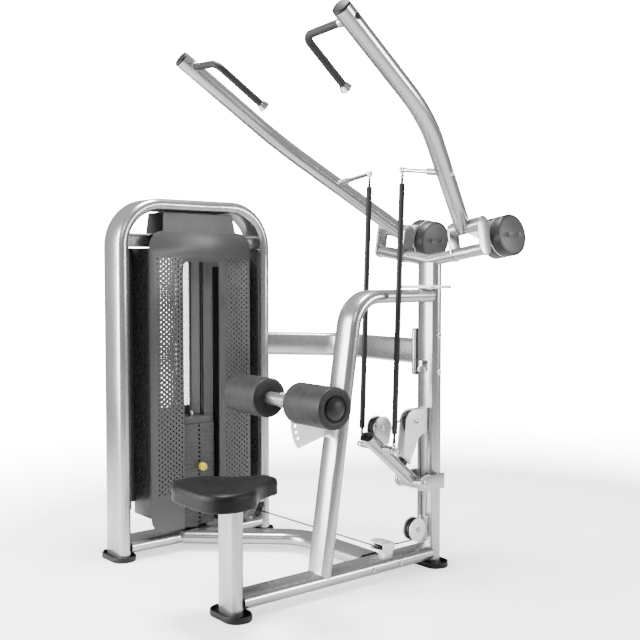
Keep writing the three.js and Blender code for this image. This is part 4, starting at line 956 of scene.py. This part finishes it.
# ---- arms
def arm(side, matrix):
    body = f"{side}_arm"
    root = ON_CROSSBAR @ Vector((0, ARM_ROOT_S, PIVOT_HEIGHT))
    inner = Piece().sweep(circle(0, 0, 32, 48), bent_path([root, ARM_BEND, ARM_END], 800, 20), hollow=3)
    sleeve = Piece().bush(SHAFT_BORE, 27, 146.6, 289.7, (0, 0, PIVOT_HEIGHT))
    inner.add(sleeve, ON_CROSSBAR)
    peg_root = Vector((-241, 304.5, 1552))
    peg_axis = (ROD_TOP - peg_root).normalized()
    peg = [(0, -35), (11.5, -35), (13, -33.5), (13, 82), (11, 84), (0, 84)]
    inner.lathe(peg, peg_root, peg_axis, 36)
    collar_axis = (HANDLE[1] - HANDLE[0]).normalized()
    inner.lathe([(0, 20), (17, 20), (17, 44.5), (15.5, 46), (0, 46)], HANDLE[0], collar_axis, 40)
    inner.place(f"swing_tube_{side}", body, "frame_paint", [f"arm_{side}"], matrix)

    outline = slug(0, PIVOT_HEIGHT, 26, WEIGHT_X, WEIGHT_H, 60)
    carrier = Piece().plate(outline, WEIGHT_S - 4, WEIGHT_S + 4, "xz", 1.2)
    carrier.rod(81, -2, 2, (WEIGHT_X, WEIGHT_S, WEIGHT_H), Y_AXIS, 80)
    carrier.bm.transform(ON_CROSSBAR)
    carrier.place(f"weight_carrier_{side}", body, "plate_paint", matrix=matrix)

    stud_length = (ROD_TOP - peg_root).length - 9
    profile = [(0, 80), (8, 80), (8, stud_length - 1), (7, stud_length), (0, stud_length)]
    stud = Piece().lathe(profile, peg_root, peg_axis, 28)
    stud.place(f"rod_stud_{side}", body, "chrome", matrix=matrix)

    plug = Piece().lathe([(0, 24), (12, 24), (12, 33), (10, 35), (0, 35)], HANDLE[0], -collar_axis, 32)
    heading = (ARM_END - ARM_BEND).normalized()
    profile = [(0, -12), (28, -12), (28, CLEAR), (32, CLEAR), (32, 4), (30.5, 6.5), (27, 8), (0, 8.4)]
    plug.lathe(profile, ARM_END, heading)
    plug.place(f"arm_plugs_{side}", body, "black_rubber", [f"arm_cap_{side}"], matrix)

    grip = Piece().tube(13.5, [along(HANDLE[0], HANDLE[1], 46.3), HANDLE[1], HANDLE[2]], 34, 14, 32)
    grip.place(f"grip_{side}", body, "grip_rubber", [f"handle_{side}"], matrix)
    profile = [(0, CLEAR), (14.5, CLEAR), (15.2, 1.5), (16.5, 6), (21, 19), (21.5, 21), (21.5, 23.5),
               (20, 25.4), (18, 26), (0, 26)]
    cap = Piece().lathe(profile, HANDLE[2], HANDLE[2] - HANDLE[1], 40)
    cap.place(f"grip_end_{side}", body, "chrome", [f"handle_cap_{side}"], matrix)

    for face, outward in (("outer", 1), ("inner", -1)):
        weight_disc(f"{side}_{face}", body, outward, f"counterweight_{side}_{face}", matrix)


def weight_disc(name, body, outward, node, matrix):
    """A disc with a rolled rim, a paler turned face, and two recessed bolts."""
    near, far, radius = 4.3, 50, 83
    centre = Vector((WEIGHT_X, WEIGHT_S, WEIGHT_H))
    axis = Y_AXIS * outward
    rim = [(0, near), (radius - 2, near), (radius, near + 2), (radius, far - 4), (radius - 1.2, far - 1.2),
           (radius - 4, far), (radius - 8, far), (radius - 9, far - 1), (0, far - 1)]
    disc = Piece().lathe(rim, centre, axis, 80)
    disc.bm.transform(ON_CROSSBAR)
    disc.place(f"weight_{name}", body, "cast_iron", [node], matrix)
    face = Piece()
    outline = circle(centre.x, centre.z, radius - 9.5, 72)
    holes = [circle(centre.x + offset, centre.z, 10.5, 24) for offset in (-29, 29)]
    low, high = sorted((centre.y + outward * (far - 1.5), centre.y + outward * (far - 0.1)))
    face.plate(outline, low, high, "xz", 0.3, holes)
    face.bm.transform(ON_CROSSBAR)
    face.place(f"weight_face_{name}", body, "disc_face", matrix=matrix)


# ---- thigh rollers
def polar(centre, radius, angle):
    return centre[0] - radius * math.cos(angle), centre[1] + radius * math.sin(angle)


def pad_bracket():
    x, z = PAD_PIVOT
    face_x = FRONT_FOOT_X - POST_FACE + FRONT_LEAN * (z - RAIL_TOP)
    bracket = Piece()
    back = Piece().box(-8.3, -CLEAR, -38, 38, -75, 62, 1)
    bracket.add(back, Matrix.Translation((face_x, 0, z)) @ Matrix.Rotation(math.atan(FRONT_LEAN), 4, "Y"))
    nose = [(x - 4, z + 19), (x - 18, z + 8), (x - 18, z - 8), (x - 4, z - 19)]
    cheek = [(face_x - 1, z + 45), *nose, (face_x - 14, z - 50)]
    bracket.plates(cheek, ((-26, -20), (20, 26)), "xz", 0.8)
    sector = [(face_x - 12, z - 58), (face_x + 1, z + 47)]
    sector += arc(x, z, 165, math.pi - 0.7, math.pi + 0.63, 40)
    angles = [PAD_ANGLE + k * HOLE_PITCH for k in range(-5, 2)]
    holes = [circle(*polar(PAD_PIVOT, HOLE_ARC, angle), 6, 24) for angle in angles]
    bracket.plate(sector, -3, 3, "xz", 0.8, holes)
    bracket.rod(8, -32, 32, (x, 0, z), Y_AXIS, 32)
    bracket.place("pad_sector", "frame", "plate_paint", ["pad_bracket"])


def pad_arm():
    arms = Piece().plates(slug(*PAD_PIVOT, 20, *PAD_AXLE, 26), ((-14, -8), (8, 14)))
    axle = (PAD_AXLE[0], 0, PAD_AXLE[1])
    arms.rod(24, -273, 273, axle, Y_AXIS, 48)
    x, z = polar(PAD_PIVOT, HOLE_ARC, PAD_ANGLE)
    arms.lathe([(6.3, 12), (13, 12), (13, 33), (12, 34), (6.3, 34), (6.3, 12)], (x, 0, z), -Y_AXIS, 32)
    arms.place("pad_lever", "thigh_pad", "frame_paint", ["pad_arm"])
    plunger = Piece().rod(6, 4.5, 38, (x, 0, z), -Y_AXIS, 28)
    knob = [(0, 37), (11, 37), (13, 39), (13.5, 44), (12.5, 49), (14, 53), (13, 57), (10, 58), (0, 58)]
    plunger.lathe(knob, (x, 0, z), -Y_AXIS, 32)
    plunger.place("pull_plunger", "plunger", "steel", ["pad_plunger"])


def roller(side, matrix):
    """A foam roller whose skin rolls in at both ends round a domed hub cap."""
    centre = (PAD_AXLE[0], 0, PAD_AXLE[1])
    inner, outer, bore, body = 84, 287, 24.6, f"{side}_roller"
    near_end = [(bore, 5), (34, 2.5), (48, 0.7), (62, 0), (68, 0.6), (71.4, 2.6), (72.8, 6), (73, 14)]
    far_end = [(73, 14), (72.8, 6), (71.4, 2.6), (68, 0.6), (62, 0), (50, 1), (46, 3), (45, 6), (bore, 6)]
    skin = [(r, inner + depth) for r, depth in near_end] + [(r, outer - depth) for r, depth in far_end]
    foam = Piece().lathe(skin + [skin[0]], centre, Y_AXIS, 72)
    piece = foam.place(f"roller_{side}", body, "pad_foam", [f"thigh_roller_{side}"], matrix, angle=60)
    dome = [(0, -8), (42, -8), (42, -3), (39, 1.5), (34, 6), (25, 11), (13, 14.2), (0, 15)]
    cap = Piece().lathe([(r, outer + height) for r, height in dome], centre, Y_AXIS, 56)
    cap.place(f"roller_cap_{side}", body, "black_rubber", matrix=matrix)


# ---- seat
SEAT_HALF = [
    (-789, 0), (-791, 26), (-806, 42), (-850, 55), (-895, 78), (-930, 108), (-965, 146), (-1010, 167),
    (-1070, 168), (-1118, 146), (-1142, 100), (-1147, 50), (-1148, 0),
]


def smooth_outline(points, count):
    """Catmull-Rom through points, sampled evenly by number."""
    samples = []
    last = len(points) - 1
    for k in range(count + 1):
        t = k * last / count
        i = min(int(t), last - 1)
        u = t - i
        p = [Vector(points[min(max(j, 0), last)]) for j in (i - 1, i, i + 1, i + 2)]
        square = 2 * p[0] - 5 * p[1] + 4 * p[2] - p[3]
        cube = 3 * p[1] - p[0] - 3 * p[2] + p[3]
        samples.append(0.5 * ((2 * p[1]) + (p[2] - p[0]) * u + square * u**2 + cube * u**3))
    return samples


def seat():
    half = smooth_outline(SEAT_HALF, 44)
    outline = [tuple(p) for p in half] + [(p.x, -p.y) for p in half[-2:0:-1]]
    centre = Vector((-985, 0))
    # wall profile: how far in from the outline, and the height
    wall = [(26, 0), (3, 0), (0.6, 2), (0.4, 8), (1.2, 22), (0.2, 36), (1, 46), (3.2, 52.5), (7, 57),
            (12, 59.6), (15, 60.2), (16.5, 59.4), (18, 60.3), (24, 61.5), (40, 63.2), (62, 64.4)]
    cushion = Piece()
    rings = []
    for inset, height in wall:
        ring = []
        for k, point in enumerate(outline):
            before, after = Vector(outline[k - 1]), Vector(outline[(k + 1) % len(outline)])
            tangent = (after - before).normalized()
            inward = Vector((-tangent.y, tangent.x))
            here = Vector(point)
            room = (centre - here).length
            direction = inward * 0.55 + (centre - here).normalized() * 0.45
            moved = here + direction.normalized() * min(inset, room * 0.8)
            ring.append((moved.x, moved.y, SEAT_BOTTOM + CLEAR + height))
        rings.append(ring)
    made = cushion.ring_surface(rings)
    cushion.bm.faces.new(made[0][::-1])
    rim = [vert.co for vert in made[-1]]
    shrunk = [(centre.x + (co.x - centre.x) * 0.5, co.y * 0.5, co.z + 1) for co in rim]
    hub = [cushion.bm.verts.new(point) for point in shrunk]
    for k in range(len(hub)):
        after = (k + 1) % len(hub)
        cushion.bm.faces.new((made[-1][k], made[-1][after], hub[after], hub[k]))
    cushion.bm.faces.new(hub)
    piece = cushion.place("seat_pad", "frame", "upholstery", ["seat_cushion"], angle=70)


# ---- cable
def lever_run():
    """Where the straight run leaves the upright pulley and meets the lever's sheave, as (x, z)."""
    start = Vector(UPRIGHT_PULLEY)
    sheave = lever_point(SHEAVE_ALONG, SHEAVE_ABOVE)
    stop = Vector((sheave.x, sheave.z))
    wrap = SHEAVE_RADIUS + STAND_OFF
    apart = stop - start
    lift = math.acos((WRAP + wrap) / apart.length)
    outward = apart.normalized()
    outward.rotate(Matrix.Rotation(-lift, 2))
    return start + outward * WRAP, stop - outward * wrap, Vector((sheave.x, sheave.z)), wrap


def on_run(leaves, meets, z):
    return leaves.x + (meets.x - leaves.x) * (z - leaves.y) / (meets.y - leaves.y)


def cables():
    top = TOP_PULLEY_Z + SMALL_WRAP
    lean = (UPRIGHT_PULLEY[0] - BASE_PULLEY[0]) / (UPRIGHT_PULLEY[1] - BASE_PULLEY[1])
    over = UPRIGHT_PULLEY[1] + WRAP
    leaves, meets, sheave, wrap = lever_run()

    def riser(z):
        return BASE_PULLEY[0] + lean * (z - BASE_PULLEY[1]) + WRAP * math.hypot(1, lean)

    corners = [
        (TOWER_MID_X, TOWER_Y, TOP_PULLEY_Z), (TOWER_MID_X, TOWER_Y, top),
        (TOP_PULLEYS_X[1] + SMALL_WRAP, TOWER_Y, top),
        (TOWER_PULLEY[0] + 5, TOWER_PULLEY[1] + WRAP, CABLE_Z),
        (FLOOR_PULLEY[0] - FLOOR_WRAP, 0, CABLE_Z),
        (riser(CABLE_Z), 0, CABLE_Z), (riser(over), 0, over), (on_run(leaves, meets, over), 0, over),
        (leaves.x + (meets.x - leaves.x) * 0.05, 0, leaves.y + (meets.y - leaves.y) * 0.05),
    ]
    radii = [SMALL_WRAP, SMALL_WRAP, WRAP, FLOOR_WRAP, WRAP, WRAP, WRAP]
    main = Piece().tube(CABLE_RADIUS, corners, radii, 12, 12)
    main.place("cable_main", "frame", "cable_jacket", ["main_cable"], angle=80)
    under = sheave.y - wrap
    run = [leaves.lerp(meets, 0.05 + 0.05 * k) for k in range(20)]
    corners = [(point.x, 0, point.y) for point in run]
    corners += [(on_run(leaves, meets, under), 0, under), (sheave.x - wrap, 0, under)]
    corners.append((sheave.x - wrap, 0, sheave.y + 4))
    tail = Piece().tube(CABLE_RADIUS, corners, [0.1] * (len(run) - 1) + [wrap, wrap], 6, 12)
    piece = tail.place("cable_lever", None, "cable_jacket", ["lever_cable"], angle=80)
    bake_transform(piece)


def stack_cable():
    ends = [(TOWER_MID_X, TOWER_Y, z) for z in (STEM_TOP, TOP_PULLEY_Z)]
    hanging = Piece().tube(CABLE_RADIUS, ends, sides=12)
    piece = hanging.place("cable_stack", "frame", "cable_jacket", ["stack_cable"], angle=80)
    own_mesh(piece)


# ---- stage
def stage():
    floor = bmesh.new()
    bmesh.ops.create_circle(floor, cap_ends=True, segments=96, radius=40)
    mesh = bpy.data.meshes.new("floor")
    floor.to_mesh(mesh)
    floor.free()
    ground = bpy.data.objects.new("floor", mesh)
    bpy.context.scene.collection.objects.link(ground)
    nodes = Nodes("pale_floor", 0.6, Specular_IOR_Level=0.15)
    nodes.colour(nodes.noise(3, 3), (0.9, 0.9, 0.9), (0.93, 0.93, 0.93))
    nodes.fade(1.9, 4.6, 0.95)
    mesh.materials.append(nodes.material)
    backdrop(24, 0.36)
    # place, aim, size and power of each softbox
    softboxes = [
        ((-4.6, 2.0, 1.7), (-0.4, 0.2, 0.9), 3.2, 820),
        ((2.4, -4.0, 1.8), (-0.2, 0.0, 0.9), 1.3, 260),
        ((-0.5, 0.4, 4.6), (-0.5, 0.4, 0.0), 1.3, 640),
        ((-3.6, -3.2, 3.6), (-0.4, 0.2, 0.9), 1.6, 60),
    ]
    for place, aim, size, power in softboxes:
        data = bpy.data.lights.new("softbox", "AREA")
        data.size = size
        data.energy = power
        light = bpy.data.objects.new("softbox", data)
        light.location = place
        light.rotation_euler = (Vector(aim) - Vector(place)).to_track_quat("-Z", "Y").to_euler()
        bpy.context.scene.collection.objects.link(light)


def backdrop(seen, lighting):
    """A white studio: how bright the backdrop looks, and how much light it gives."""
    world = bpy.data.worlds.new("studio")
    world.use_nodes = True
    tree = world.node_tree
    path = tree.nodes.new("ShaderNodeLightPath")
    strength = tree.nodes.new("ShaderNodeMapRange")
    strength.inputs["To Min"].default_value = lighting
    strength.inputs["To Max"].default_value = seen
    tree.links.new(path.outputs["Is Camera Ray"], strength.inputs["Value"])
    tree.nodes["Background"].inputs["Color"].default_value = (1, 1, 1, 1)
    tree.links.new(strength.outputs["Result"], tree.nodes["Background"].inputs["Strength"])
    bpy.context.scene.world = world


# ---- everything
base_rail()
seat_post()
for node, (fx, fy) in {
    "foot_seat": (SEAT_POST_X, 0), "foot_rear": (0, 0),
    "foot_tower_front": (TOWER_FRONT_X, TOWER_Y), "foot_tower_rear": (TOWER_REAR_X, TOWER_Y),
}.items():
    foot(node, fx, fy)
rear_upright()
front_upright()
crossbar()
collar_plate()
tower_loop()
tower_rail()
front_guard()
rear_guard()
pulley_cover()
link_tubes()
weight_stack()
selector_pin()
pulleys()
upright_bracket()
base_bracket()
floor_housing()
rocker()
tie_rods()
for side, matrix in SIDES.items():
    arm(side, matrix)
    roller(side, matrix)
pad_bracket()
pad_arm()
seat()
cables()
stack_cable()
stage()
